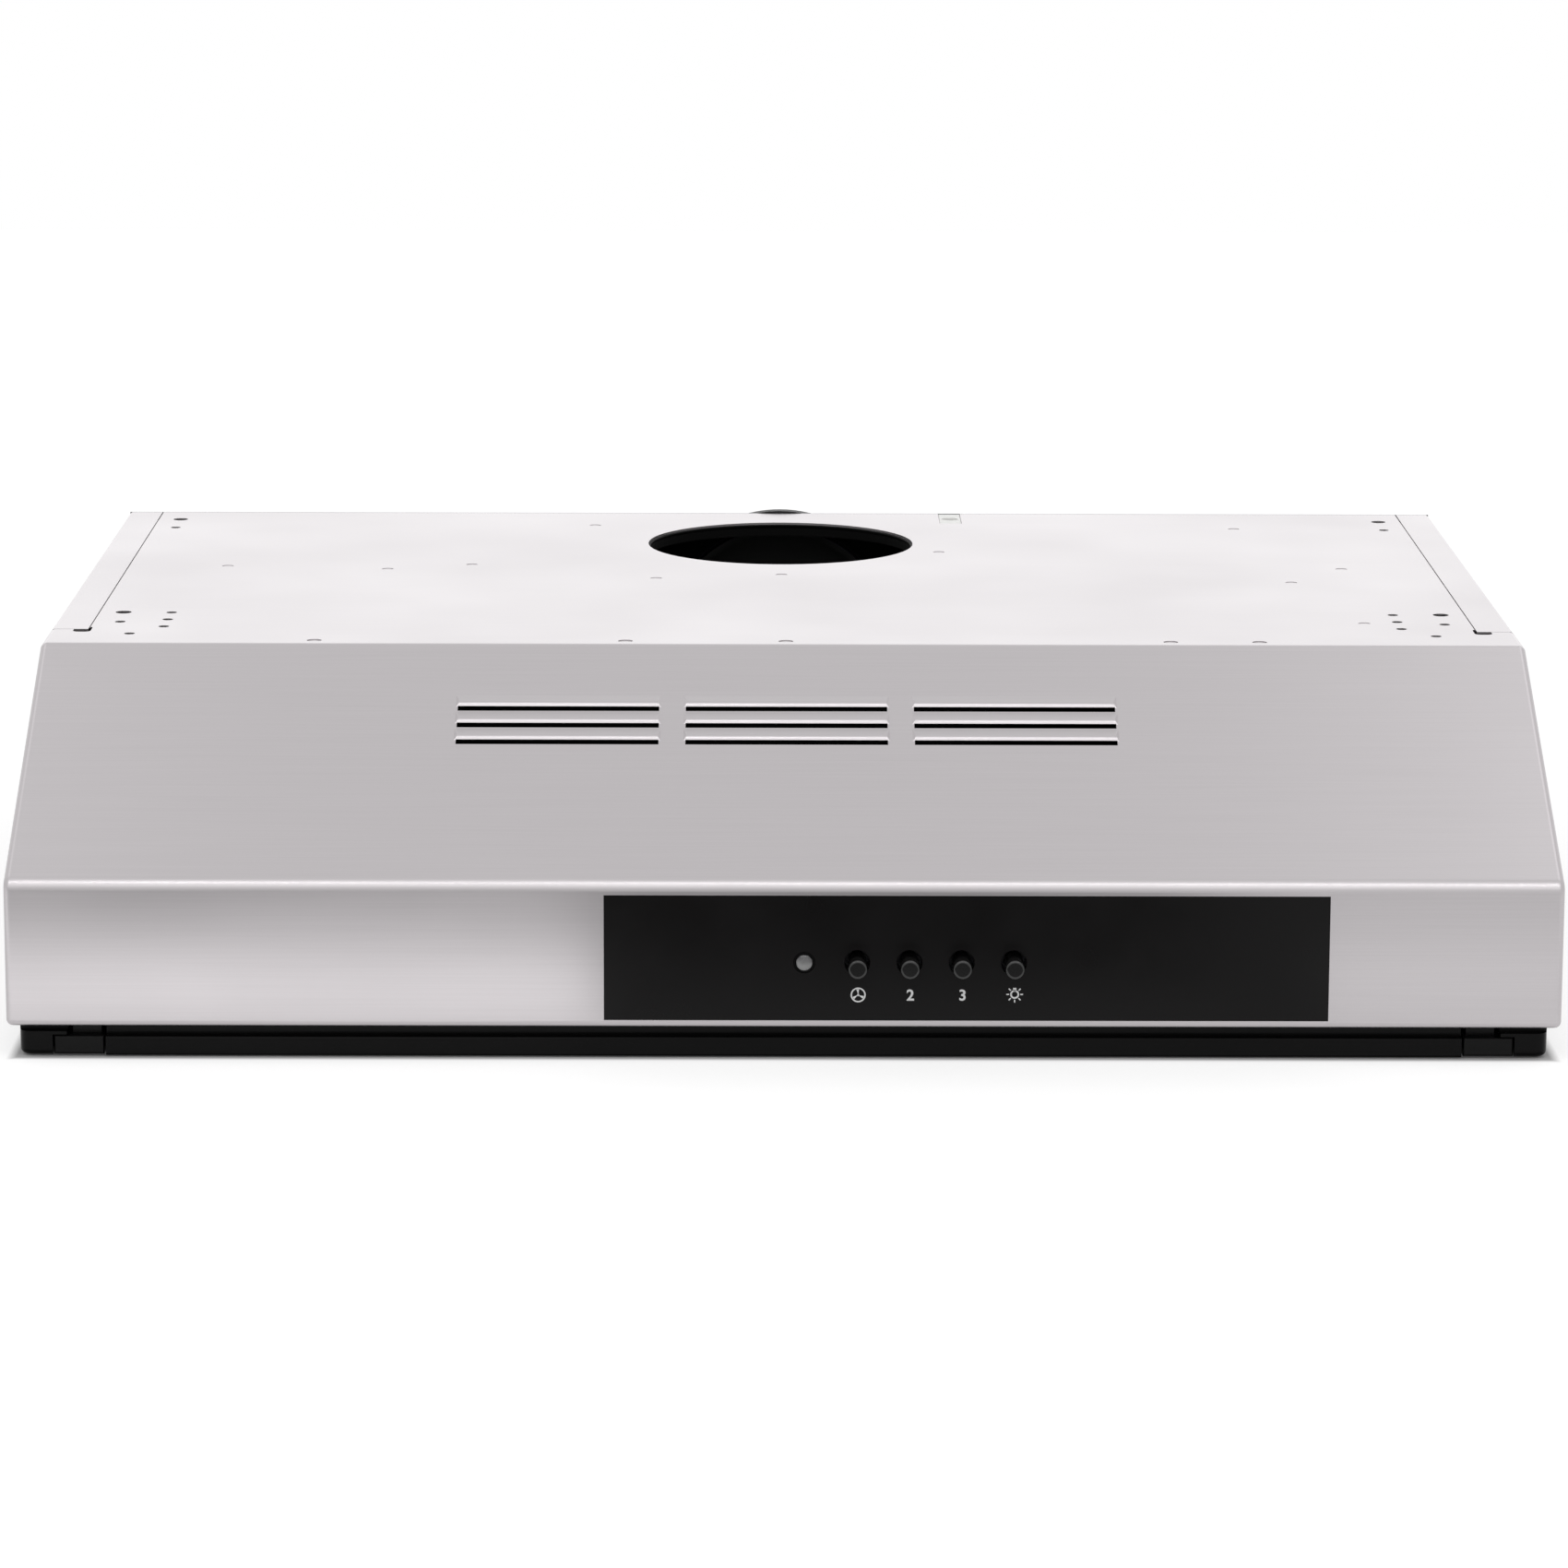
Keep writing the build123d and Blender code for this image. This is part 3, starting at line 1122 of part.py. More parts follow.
def cut_grooves(shape):
    return shape - [groove(*lamp_panel_span()), groove(*grid_span())]


def front_rail():
    rail = block(-RAIL_END, RAIL_END, FRAME_FRONT, FRONT_RAIL_BACK, FRAME_BOTTOM, FRAME_TOP)
    rail -= block(
        -RAIL_END - PAST, RAIL_END + PAST, FRAME_FRONT - PAST, FRAME_FRONT + NOSE_DEPTH,
        FRAME_BOTTOM + NOSE_HEIGHT, FRAME_TOP + PAST,
    )
    front = rail.edges().filter_by(Axis.X).group_by(Axis.Y)[0]
    rail = fillet(front, NOSE_EDGE)
    return cut_grooves(rail)


def rear_rail():
    rail = block(-RAIL_END, RAIL_END, REAR_RAIL_FRONT, FRAME_REAR, FRAME_BOTTOM, FRAME_TOP)
    half = HINGE_BRACKET_WIDTH / 2 + HINGE_SIDE_GAP
    notch = block(
        HINGE_X - half, HINGE_X + half, HINGE_Y - HINGE_EYE_RADIUS - HINGE_EYE_GAP, FRAME_REAR + PAST,
        FRAME_BOTTOM - PAST, FRAME_TOP + PAST,
    )
    rail -= both_sides(notch)
    rail -= both_sides(hinge_pin())
    return cut_grooves(rail)


def wire_places():
    y0, y1 = grid_span()
    pitch = (y1 - y0) / (WIRE_COUNT + 1)
    return [y0 + pitch * (i + 1) for i in range(WIRE_COUNT)]


def wire_rods(radius):
    z = GRID_TOP + MAT_THICKNESS + WIRE_RADIUS
    reach = FRAME_X - RAIL_WIDTH + WIRE_SEAT
    return [rod_x(-reach, reach, y, z, radius) for y in wire_places()]


def side_rail():
    y0 = FRAME_FRONT + CORNER_LENGTH
    y1 = FRAME_REAR - CORNER_LENGTH
    rail = block(FRAME_X - RAIL_WIDTH, FRAME_X, y0, y1, FRAME_BOTTOM, FRAME_TOP)
    return cut_grooves(rail) - wire_rods(WIRE_RADIUS + WIRE_GAP)


def cross_rail():
    reach = FRAME_X - RAIL_WIDTH
    return cut_grooves(block(-reach, reach, CROSS_FRONT, CROSS_REAR, FRAME_BOTTOM, FRAME_TOP))


def corner_base(y_outer, y_arm, y_leg):
    """An L of a corner at the right: an arm along X and a leg along Y, its outside rounded below."""
    low = min(y_outer, y_arm)
    high = max(y_outer, y_arm)
    arm = block(RAIL_END, FRAME_X, low, high, FRAME_BOTTOM, FRAME_TOP)
    low = min(y_outer, y_leg)
    high = max(y_outer, y_leg)
    leg = block(FRAME_X - RAIL_WIDTH, FRAME_X, low, high, FRAME_BOTTOM, FRAME_TOP)
    corner = arm + leg
    upright = [
        edge for edge in corner.edges().filter_by(Axis.Z)
        if abs(edge.center().X - FRAME_X) < SHEET and abs(edge.center().Y - y_outer) < SHEET
    ]
    corner = fillet(upright, CORNER_ROUND)
    below = [
        edge for edge in corner.edges().group_by(Axis.Z)[0]
        if edge.center().X > FRAME_X - CORNER_ROUND and abs(edge.center().Y - y_leg) > SHEET
    ]
    return fillet(below, CORNER_BOTTOM_ROUND)


def front_corner():
    corner = corner_base(FRAME_FRONT, FRONT_RAIL_BACK, FRAME_FRONT + CORNER_LENGTH)
    foot = FRAME_X - CORNER_FOOT
    arm_bottom = FRAME_BOTTOM + NOSE_HEIGHT + CORNER_ARM_GAP
    corner -= block(
        RAIL_END - PAST, foot, FRAME_FRONT - PAST, POCKET_BACK, FRAME_BOTTOM - PAST, arm_bottom
    )
    corner -= block(
        RAIL_END - PAST, foot - CORNER_ARM, FRAME_FRONT - PAST, POCKET_BACK,
        FRAME_BOTTOM - PAST, FRAME_TOP + PAST,
    )
    corner -= block(
        RAIL_END - PAST, FRAME_X + PAST, FRAME_FRONT - PAST, FRAME_FRONT + NOSE_DEPTH,
        FRAME_BOTTOM + CORNER_NOSE_HEIGHT, FRAME_TOP + PAST,
    )
    return cut_grooves(corner)


def rear_corner():
    corner = corner_base(FRAME_REAR, REAR_RAIL_FRONT, FRAME_REAR - CORNER_LENGTH)
    return cut_grooves(corner)


def catch():
    """Right push catch: thumb face below, hook over the hem above."""
    front = FRAME_FRONT + CATCH_INSET
    back = FRAME_FRONT + CATCH_DEPTH
    low = FRAME_BOTTOM + CATCH_BOTTOM_GAP
    high = FRAME_BOTTOM + NOSE_HEIGHT
    thumb = block(CATCH_LEFT, CATCH_RIGHT, front, back, low, high)
    thumb = fillet(thumb.edges().group_by(Axis.Y)[0], NOSE_EDGE)
    hook_x = (CATCH_LEFT + CATCH_RIGHT - CORNER_ARM) / 2
    half = CATCH_HOOK_WIDTH / 2
    hook_bottom = Z_LIP + SHEET + CATCH_HOOK_RISE
    hook_top = hook_bottom + CATCH_HOOK_THICKNESS
    stem_front = HEM_EDGE + CATCH_HOOK_GAP
    stem = block(hook_x - half, hook_x + half, stem_front, back, low, hook_top)
    hook = block(hook_x - half, hook_x + half, HEM_EDGE - CATCH_HOOK_LAP, back, hook_bottom, hook_top)
    return thumb + [stem, hook]


def lamp_windows(grow, z0, z1):
    y0, y1 = lamp_panel_span()
    middle = (y0 + y1) / 2
    right = GRID_X - LAMP_WINDOW_INSET + grow
    left = GRID_X - LAMP_WINDOW_INSET - LAMP_WINDOW_WIDTH - grow
    half = LAMP_WINDOW_DEPTH / 2 + grow
    return both_sides(block(left, right, middle - half, middle + half, z0, z1))


def lamp_panel():
    panel = block(-GRID_X, GRID_X, *lamp_panel_span(), GRID_BOTTOM, GRID_TOP)
    return panel - lamp_windows(0, GRID_BOTTOM - PAST, GRID_TOP + PAST)


def lamp_diffuser(side):
    low = lamp_windows(-DIFFUSER_GAP, GRID_BOTTOM, GRID_TOP)[side]
    return low + lamp_windows(DIFFUSER_LAP, GRID_TOP, GRID_TOP + DIFFUSER_THICKNESS)[side]


def filter_grid():
    y0, y1 = grid_span()
    width = 2 * GRID_X
    pitch_x = (width - 2 * GRID_BORDER) / GRID_COLUMNS
    pitch_y = (y1 - y0 - 2 * GRID_BORDER) / GRID_ROWS
    gap = Rectangle(pitch_x - GRID_BAR, pitch_y - GRID_BAR).wire()
    places = GridLocations(pitch_x, pitch_y, GRID_COLUMNS, GRID_ROWS)
    net = Rectangle(width, y1 - y0).face().make_holes([place * gap for place in places])
    return Pos(0, (y0 + y1) / 2, GRID_BOTTOM) * extrude(net, amount=GRID_THICKNESS, dir=(0, 0, 1))


def filter_mat():
    reach = FRAME_X - RAIL_WIDTH - MAT_MARGIN
    y0 = CROSS_REAR + MAT_MARGIN
    y1 = REAR_RAIL_FRONT - MAT_MARGIN
    return block(-reach, reach, y0, y1, GRID_TOP, GRID_TOP + MAT_THICKNESS)


def filter_wires():
    return group(wire_rods(WIRE_RADIUS))


def hinge_pin():
    half = HINGE_PIN_LENGTH / 2
    return rod_x(HINGE_X - half, HINGE_X + half, HINGE_Y, HINGE_Z, HINGE_PIN_RADIUS)


def hinge_bracket():
    x0 = HINGE_X - HINGE_BRACKET_WIDTH / 2
    x1 = HINGE_X + HINGE_BRACKET_WIDTH / 2
    top = Z_LIP + HINGE_FOOT_TOP
    eye = rod_x(x0, x1, HINGE_Y, HINGE_Z, HINGE_EYE_RADIUS)
    arm = block(x0, x1, HINGE_Y - HINGE_EYE_RADIUS, HINGE_Y + HINGE_EYE_RADIUS, HINGE_Z, top)
    foot = block(x0, x1, HINGE_Y, Y_REAR, Z_LIP + HINGE_FOOT_BOTTOM, top)
    bracket = eye + [arm, foot]
    bracket -= rod_x(x0 - PAST, x1 + PAST, HINGE_Y, HINGE_Z, HINGE_PIN_RADIUS + HINGE_FIT)
    return bracket - back_screw_holes(SCREW_RADIUS)


def model():
    """Every node of the hood by name."""
    nodes = {
        "main_shell": main_shell(),
        "back_panel": back_panel(),
        "back_panel_screws": back_panel_screws(),
        "rear_outlet_cap": rear_outlet_cap(),
        "cable_gland": cable_gland(),
        "control_panel": control_panel(),
        "panel_nuts": panel_nuts(),
        "switch_block": switch_block(),
        "switch_screws": switch_screws(),
        "pilot_lens": pilot_lens(),
        "pilot_lamp": pilot_lamp(),
        "volute_housing": volute_housing(),
        "volute_cover": volute_cover(),
        "blower_grommets": blower_grommets(),
        "blower_studs": blower_studs(),
        "blower_nuts": blower_nuts(),
        "inlet_guard": inlet_guard(),
        "motor_can": motor_can(),
        "motor_end_plate": motor_end_plate(),
        "motor_bearings": motor_bearings(),
        "motor_screws": motor_screws(),
        "stator_core": stator_core(),
        "rotor_core": rotor_core(),
        "motor_shaft": motor_shaft(),
        "impeller": impeller(),
        "shaft_nut": shaft_nut(),
        "capacitor": capacitor(),
        "outlet_box": outlet_box(),
        "diverter_shaft": diverter_shaft(),
        "diverter_flap": diverter_flap(),
        "diverter_lever": diverter_lever(),
        "recirculation_duct": recirculation_duct(),
        "terminal_box": terminal_box(),
        "terminal_lid": terminal_lid(),
        "front_rail": front_rail(),
        "rear_rail": rear_rail(),
        "cross_rail": cross_rail(),
        "lamp_panel": lamp_panel(),
        "filter_grid": filter_grid(),
        "filter_mat": filter_mat(),
        "filter_wires": filter_wires(),
        "hinge_pins": group(both_sides(hinge_pin())),
        "hinge_brackets": group(both_sides(hinge_bracket())),
        "lamp_brackets": group(both_sides(lamp_bracket())),
        "lamp_holders": group(both_sides(lamp_holder())),
        "lamp_bulbs": group(both_sides(lamp_bulb())),
        "lamp_diffusers": group([lamp_diffuser(0), lamp_diffuser(1)]),
        "rear_corners": group(both_sides(rear_corner())),
    }
    for i, x in enumerate(BUTTON_XS):
        nodes[f"button_{i + 1}"] = button(x)
    mirrored = {
        "side_panel": side_panel(),
        "side_rail": side_rail(),
        "front_corner": front_corner(),
        "catch": catch(),
    }
    for name, shape in mirrored.items():
        right, left = both_sides(shape)
        nodes[f"{name}_right"] = right
        nodes[f"{name}_left"] = left
    return nodes


def main():
    os.makedirs("parts", exist_ok=True)
    for name, shape in model().items():
        export_step(shape, f"parts/{name}.step")


if __name__ == "__main__":
    main()
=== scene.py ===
import json
import math
import random

import bmesh
import bpy
from mathutils import Matrix, Vector


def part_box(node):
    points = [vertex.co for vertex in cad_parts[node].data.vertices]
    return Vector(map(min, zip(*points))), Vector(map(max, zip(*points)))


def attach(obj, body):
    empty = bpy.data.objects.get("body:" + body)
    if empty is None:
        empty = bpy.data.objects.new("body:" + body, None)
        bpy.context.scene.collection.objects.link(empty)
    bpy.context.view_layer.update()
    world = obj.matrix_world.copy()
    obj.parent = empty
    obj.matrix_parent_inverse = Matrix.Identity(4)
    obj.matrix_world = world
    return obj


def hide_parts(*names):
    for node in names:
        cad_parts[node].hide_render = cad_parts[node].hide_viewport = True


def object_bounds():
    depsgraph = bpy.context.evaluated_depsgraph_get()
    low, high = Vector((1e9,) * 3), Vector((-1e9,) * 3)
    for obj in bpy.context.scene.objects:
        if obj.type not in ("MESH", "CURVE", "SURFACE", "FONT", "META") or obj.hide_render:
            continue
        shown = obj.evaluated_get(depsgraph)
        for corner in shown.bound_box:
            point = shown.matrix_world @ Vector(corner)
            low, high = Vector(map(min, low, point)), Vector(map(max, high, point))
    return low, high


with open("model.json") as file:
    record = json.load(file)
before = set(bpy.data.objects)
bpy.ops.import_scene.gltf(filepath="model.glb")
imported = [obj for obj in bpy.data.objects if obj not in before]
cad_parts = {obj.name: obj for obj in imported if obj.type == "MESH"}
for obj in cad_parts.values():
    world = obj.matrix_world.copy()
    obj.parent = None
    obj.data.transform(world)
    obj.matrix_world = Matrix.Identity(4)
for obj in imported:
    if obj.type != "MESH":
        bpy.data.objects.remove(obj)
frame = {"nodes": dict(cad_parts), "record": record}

CAD_BOX = [list(corner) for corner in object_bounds()]
MM = 0.001
NODES = frame["nodes"]
SCENE = bpy.context.scene

# Camera of the photograph, fitted to the body's corners: millimetres and radians
CAMERA_PLACE = (-13.51, -2518.53, 417.40)
CAMERA_PITCH = 0.19975
CAMERA_YAW = -0.00592
CAMERA_ROLL = 0.00325
CAMERA_LENS = 135.40
CAMERA_SENSOR = 36.0


def add_camera():
    """The camera at the photograph's viewing angle."""
    data = bpy.data.cameras.new("camera")
    data.lens = CAMERA_LENS
    data.sensor_width = CAMERA_SENSOR
    camera = bpy.data.objects.new("camera", data)
    SCENE.collection.objects.link(camera)
    turn = (
        Matrix.Rotation(CAMERA_YAW, 4, "Z")
        @ Matrix.Rotation(math.pi / 2 - CAMERA_PITCH, 4, "X")
        @ Matrix.Rotation(CAMERA_ROLL, 4, "Z")
    )
    camera.matrix_world = Matrix.Translation(Vector(CAMERA_PLACE) * MM) @ turn
    SCENE.camera = camera


# Materials

NOISE_RANGE = (0.3, 0.7)  # what noise mostly stays within
BACK_SHEET = 0.8  # thickness in millimetres


def linear(colour):
    """sRGB hex to linear RGBA."""
    parts = [int(colour[i:i + 2], 16) / 255 for i in (0, 2, 4)]
    return [v / 12.92 if v <= 0.04045 else ((v + 0.055) / 1.055) ** 2.4 for v in parts] + [1.0]


def add(tree, kind, inputs=None, **settings):
    """Adds a node: settings are its properties, inputs its sockets, each a value or a link."""
    node = tree.nodes.new(kind)
    for name, value in settings.items():
        setattr(node, name, value)
    for name, value in (inputs or {}).items():
        if isinstance(value, bpy.types.NodeSocket):
            tree.links.new(value, node.inputs[name])
        else:
            node.inputs[name].default_value = value
    return node


def new_material(name):
    """An empty material, its tree, and the place on the piece that its patterns read."""
    material = bpy.data.materials.new(name)
    material.use_nodes = True
    tree = material.node_tree
    tree.nodes.clear()
    return material, tree, add(tree, "ShaderNodeTexCoord").outputs["Object"]


def close(tree, shader):
    """Ends the tree with the shader."""
    add(tree, "ShaderNodeOutputMaterial", {"Surface": shader.outputs[0]})


def surface(tree, tone, colours, gloss, roughness, sockets):
    """A shader whose colour follows the tone pattern and whose roughness follows the gloss pattern."""
    inputs = {"Factor": tone, "A": linear(colours[0]), "B": linear(colours[1])}
    colour = add(tree, "ShaderNodeMix", inputs, data_type="RGBA").outputs["Result"]
    rough = add(tree, "ShaderNodeMapRange", {
        "Value": gloss, "From Min": NOISE_RANGE[0], "From Max": NOISE_RANGE[1],
        "To Min": roughness[0], "To Max": roughness[1],
    }).outputs[0]
    return add(tree, "ShaderNodeBsdfPrincipled", {"Base Color": colour, "Roughness": rough, **sockets})


def brushed_stainless():
    """430 stainless sheet, belt brushed along the width: fine streaks that spread the glint up and down."""
    material, tree, place = new_material("brushed_stainless")
    streak_length = 70 * MM
    streak_width = 0.45 * MM  # the belt's grit leaves 0.05 mm lines, drawn coarser to show
    cloud_size = 110 * MM
    stretch = (1 / streak_length, 1 / streak_width, 1 / streak_width)
    along = add(tree, "ShaderNodeMapping", {"Vector": place, "Scale": stretch}).outputs[0]
    streaks = add(tree, "ShaderNodeTexNoise", {"Vector": along, "Scale": 1.0, "Detail": 3.0}).outputs[0]
    cloud = add(tree, "ShaderNodeTexNoise", {"Vector": place, "Scale": 1 / cloud_size}).outputs[0]
    bump = add(tree, "ShaderNodeBump", {"Height": streaks, "Strength": 0.06, "Distance": 0.05 * MM})
    tangent = add(tree, "ShaderNodeTangent", direction_type="RADIAL", axis="X")
    close(tree, surface(tree, streaks, ("B6B2B4", "BFBBBD"), cloud, (0.28, 0.33), {
        "Metallic": 1.0, "Anisotropic": 0.4, "Normal": bump.outputs[0], "Tangent": tangent.outputs[0],
    }))
    return material


def zinc_spangle(tree, place):
    """Shader of hot dip galvanised sheet: frozen zinc crystals, ragged and each a slightly different grey."""
    crystal_size = 6 * MM
    bend_size = 5 * MM
    bend_reach = 4 * MM
    dull_size = 1.2 * MM
    bends = add(tree, "ShaderNodeTexNoise", {"Vector": place, "Scale": 1 / bend_size}).outputs["Color"]
    inputs = {0: bends, 1: (bend_reach, bend_reach, bend_reach), 2: place}
    ragged = add(tree, "ShaderNodeVectorMath", inputs, operation="MULTIPLY_ADD").outputs[0]
    crystals = add(tree, "ShaderNodeTexVoronoi", {"Vector": ragged, "Scale": 1 / crystal_size})
    tone = add(tree, "ShaderNodeSeparateColor", {"Color": crystals.outputs["Color"]}).outputs[0]
    dull = add(tree, "ShaderNodeTexNoise", {"Vector": place, "Scale": 1 / dull_size}).outputs[0]
    return surface(tree, tone, ("ABAEB1", "B9BCBE"), dull, (0.34, 0.44), {"Metallic": 1.0})


def galvanised_sheet():
    """Hot dip galvanised steel, for the brackets."""
    material, tree, place = new_material("galvanised_sheet")
    close(tree, zinc_spangle(tree, place))
    return material


def back_with_painted_shade():
    """Galvanised steel whose inner side is black, lumpy and dull: painted shade for the inside of the duct
    hole.
    """
    material, tree, place = new_material("galvanised_with_painted_shade")
    lump_size = 1.5 * MM
    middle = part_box("back_panel")[1].y - BACK_SHEET / 2 * MM
    depth = add(tree, "ShaderNodeSeparateXYZ", {"Vector": place}).outputs["Y"]
    # The inner side, behind the duct hole, is made black as painted shade.
    painted_shade_side = add(tree, "ShaderNodeMath", {0: depth, 1: middle}, operation="LESS_THAN").outputs[0]
    inputs = {"Vector": place, "Scale": 1 / lump_size, "Detail": 3.0}
    lumps = add(tree, "ShaderNodeTexNoise", inputs).outputs[0]
    inputs = {"Factor": lumps, "A": linear("080808"), "B": linear("121212")}
    black = add(tree, "ShaderNodeMix", inputs, data_type="RGBA").outputs["Result"]
    bump = add(tree, "ShaderNodeBump", {"Height": lumps, "Strength": 0.4, "Distance": 0.2 * MM})
    coat = add(tree, "ShaderNodeBsdfPrincipled", {
        "Base Color": black, "Roughness": 0.8, "Specular IOR Level": 0.15, "Normal": bump.outputs[0],
    })
    zinc = zinc_spangle(tree, place)
    close(tree, add(tree, "ShaderNodeMixShader", {0: painted_shade_side, 1: zinc.outputs[0], 2: coat.outputs[0]}))
    return material


def bare_metal(name, low, high, rough, grain):
    """Metal with a grain of the given millimetres in its tone and its gloss."""
    material, tree, place = new_material(name)
    inputs = {"Vector": place, "Scale": 1 / (grain * MM), "Detail": 3.0}
    marks = add(tree, "ShaderNodeTexNoise", inputs).outputs[0]
    bump = add(tree, "ShaderNodeBump", {"Height": marks, "Strength": 0.05, "Distance": 0.05 * MM})
    close(tree, surface(tree, marks, (low, high), marks, (rough - 0.04, rough + 0.06), {
        "Metallic": 1.0, "Normal": bump.outputs[0],
    }))
    return material


def core_laminations():
    """Silicon steel sheets stacked to a core: dark lines between pale edges, seen from the side."""
    material, tree, place = new_material("core_laminations")
    sheet = 1.0 * MM  # real sheets are 0.5 mm, drawn coarser to show
    dull_size = 2.0 * MM
    inputs = {"Vector": place, "Scale": 1 / (sheet * 2 * math.pi), "Distortion": 0.3}
    lines = add(tree, "ShaderNodeTexWave", inputs, bands_direction="Z").outputs[0]
    dull = add(tree, "ShaderNodeTexNoise", {"Vector": place, "Scale": 1 / dull_size}).outputs[0]
    close(tree, surface(tree, lines, ("4A4A4D", "8A8A8C"), dull, (0.4, 0.5), {"Metallic": 1.0}))
    return material


def moulded(name, low, high, rough, grain, gloss=0.5, relief=0.12):
    """Moulded plastic: a spark grain of the given millimetres, and faint flow clouds in tone and gloss."""
    material, tree, place = new_material(name)
    flow_size = 28 * MM
    pits = add(tree, "ShaderNodeTexNoise", {"Vector": place, "Scale": 1 / (grain * MM)}).outputs[0]
    flow = add(tree, "ShaderNodeTexNoise", {"Vector": place, "Scale": 1 / flow_size}).outputs[0]
    bump = add(tree, "ShaderNodeBump", {"Height": pits, "Strength": relief, "Distance": 0.04 * MM})
    close(tree, surface(tree, flow, (low, high), flow, (rough - 0.03, rough + 0.03), {
        "IOR": 1.5, "Specular IOR Level": gloss, "Normal": bump.outputs[0],
    }))
    return material


def smoke_lens():
    """Smoke tinted polycarbonate cap: a dome with painted light, lighter in its lower half and darker above.
    """
    material, tree, place = new_material("smoke_polycarbonate")
    swirl_size = 1.6 * MM
    painted_dark_reach = 2.0 * MM
    painted_light_reach = 1.5 * MM
    low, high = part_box("pilot_lens")
    middle = (low.z + high.z) / 2
    # Painted light: lighter towards the bottom of the lens, darker towards its top.
    height = add(tree, "ShaderNodeSeparateXYZ", {"Vector": place}).outputs["Z"]
    inputs = {"Value": height, "From Min": middle + painted_dark_reach, "From Max": middle - painted_light_reach}
    painted_light_below = add(tree, "ShaderNodeMapRange", inputs).outputs[0]
    swirl = add(tree, "ShaderNodeTexNoise", {"Vector": place, "Scale": 1 / swirl_size}).outputs[0]
    close(tree, surface(tree, painted_light_below, ("6C6C6E", "E2E2E2"), swirl, (0.03, 0.06), {
        "IOR": 1.58, "Transmission Weight": 0.55,
    }))
    return material


def opal(name, low, high, rough, through):
    """Opal glass or polycarbonate: milky, lets light through and scatters it, with a soft shine."""
    material, tree, place = new_material(name)
    milk_size = 6 * MM
    milk = add(tree, "ShaderNodeTexNoise", {"Vector": place, "Scale": 1 / milk_size}).outputs[0]
    close(tree, surface(tree, milk, (low, high), milk, (rough, rough + 0.06), {
        "IOR": 1.52, "Transmission Weight": through, "Coat Weight": 0.2,
    }))
    return material


def filter_fleece():
    """Needled polyester fleece: matt off-white fibres that lie all ways, with a faint fuzz at the rim."""
    material, tree, place = new_material("needled_fleece")
    fibre = 0.6 * MM  # real fibres are 0.03 mm, drawn as bundles to show
    along = 1 / (9 * fibre)
    across = 1 / fibre
    layers = []
    for scale, turn in (((along, across, across), 0.0), ((across, along, across), 0.6)):
        inputs = {"Vector": place, "Scale": scale, "Rotation": (0, 0, turn)}
        lay = add(tree, "ShaderNodeMapping", inputs).outputs[0]
        inputs = {"Vector": lay, "Scale": 1.0, "Detail": 3.0}
        layers.append(add(tree, "ShaderNodeTexNoise", inputs).outputs[0])
    fibres = add(tree, "ShaderNodeMath", dict(enumerate(layers)), operation="MAXIMUM").outputs[0]
    inputs = {"Factor": fibres, "A": linear("C9C6BC"), "B": linear("F1EFE8")}
    colour = add(tree, "ShaderNodeMix", inputs, data_type="RGBA").outputs["Result"]
    bump = add(tree, "ShaderNodeBump", {"Height": fibres, "Strength": 0.6, "Distance": 0.4 * MM})
    close(tree, add(tree, "ShaderNodeBsdfPrincipled", {
        "Base Color": colour, "Roughness": 0.95, "Specular IOR Level": 0.2,
        "Sheen Weight": 0.3, "Sheen Roughness": 0.6, "Normal": bump.outputs[0],
    }))
    return material


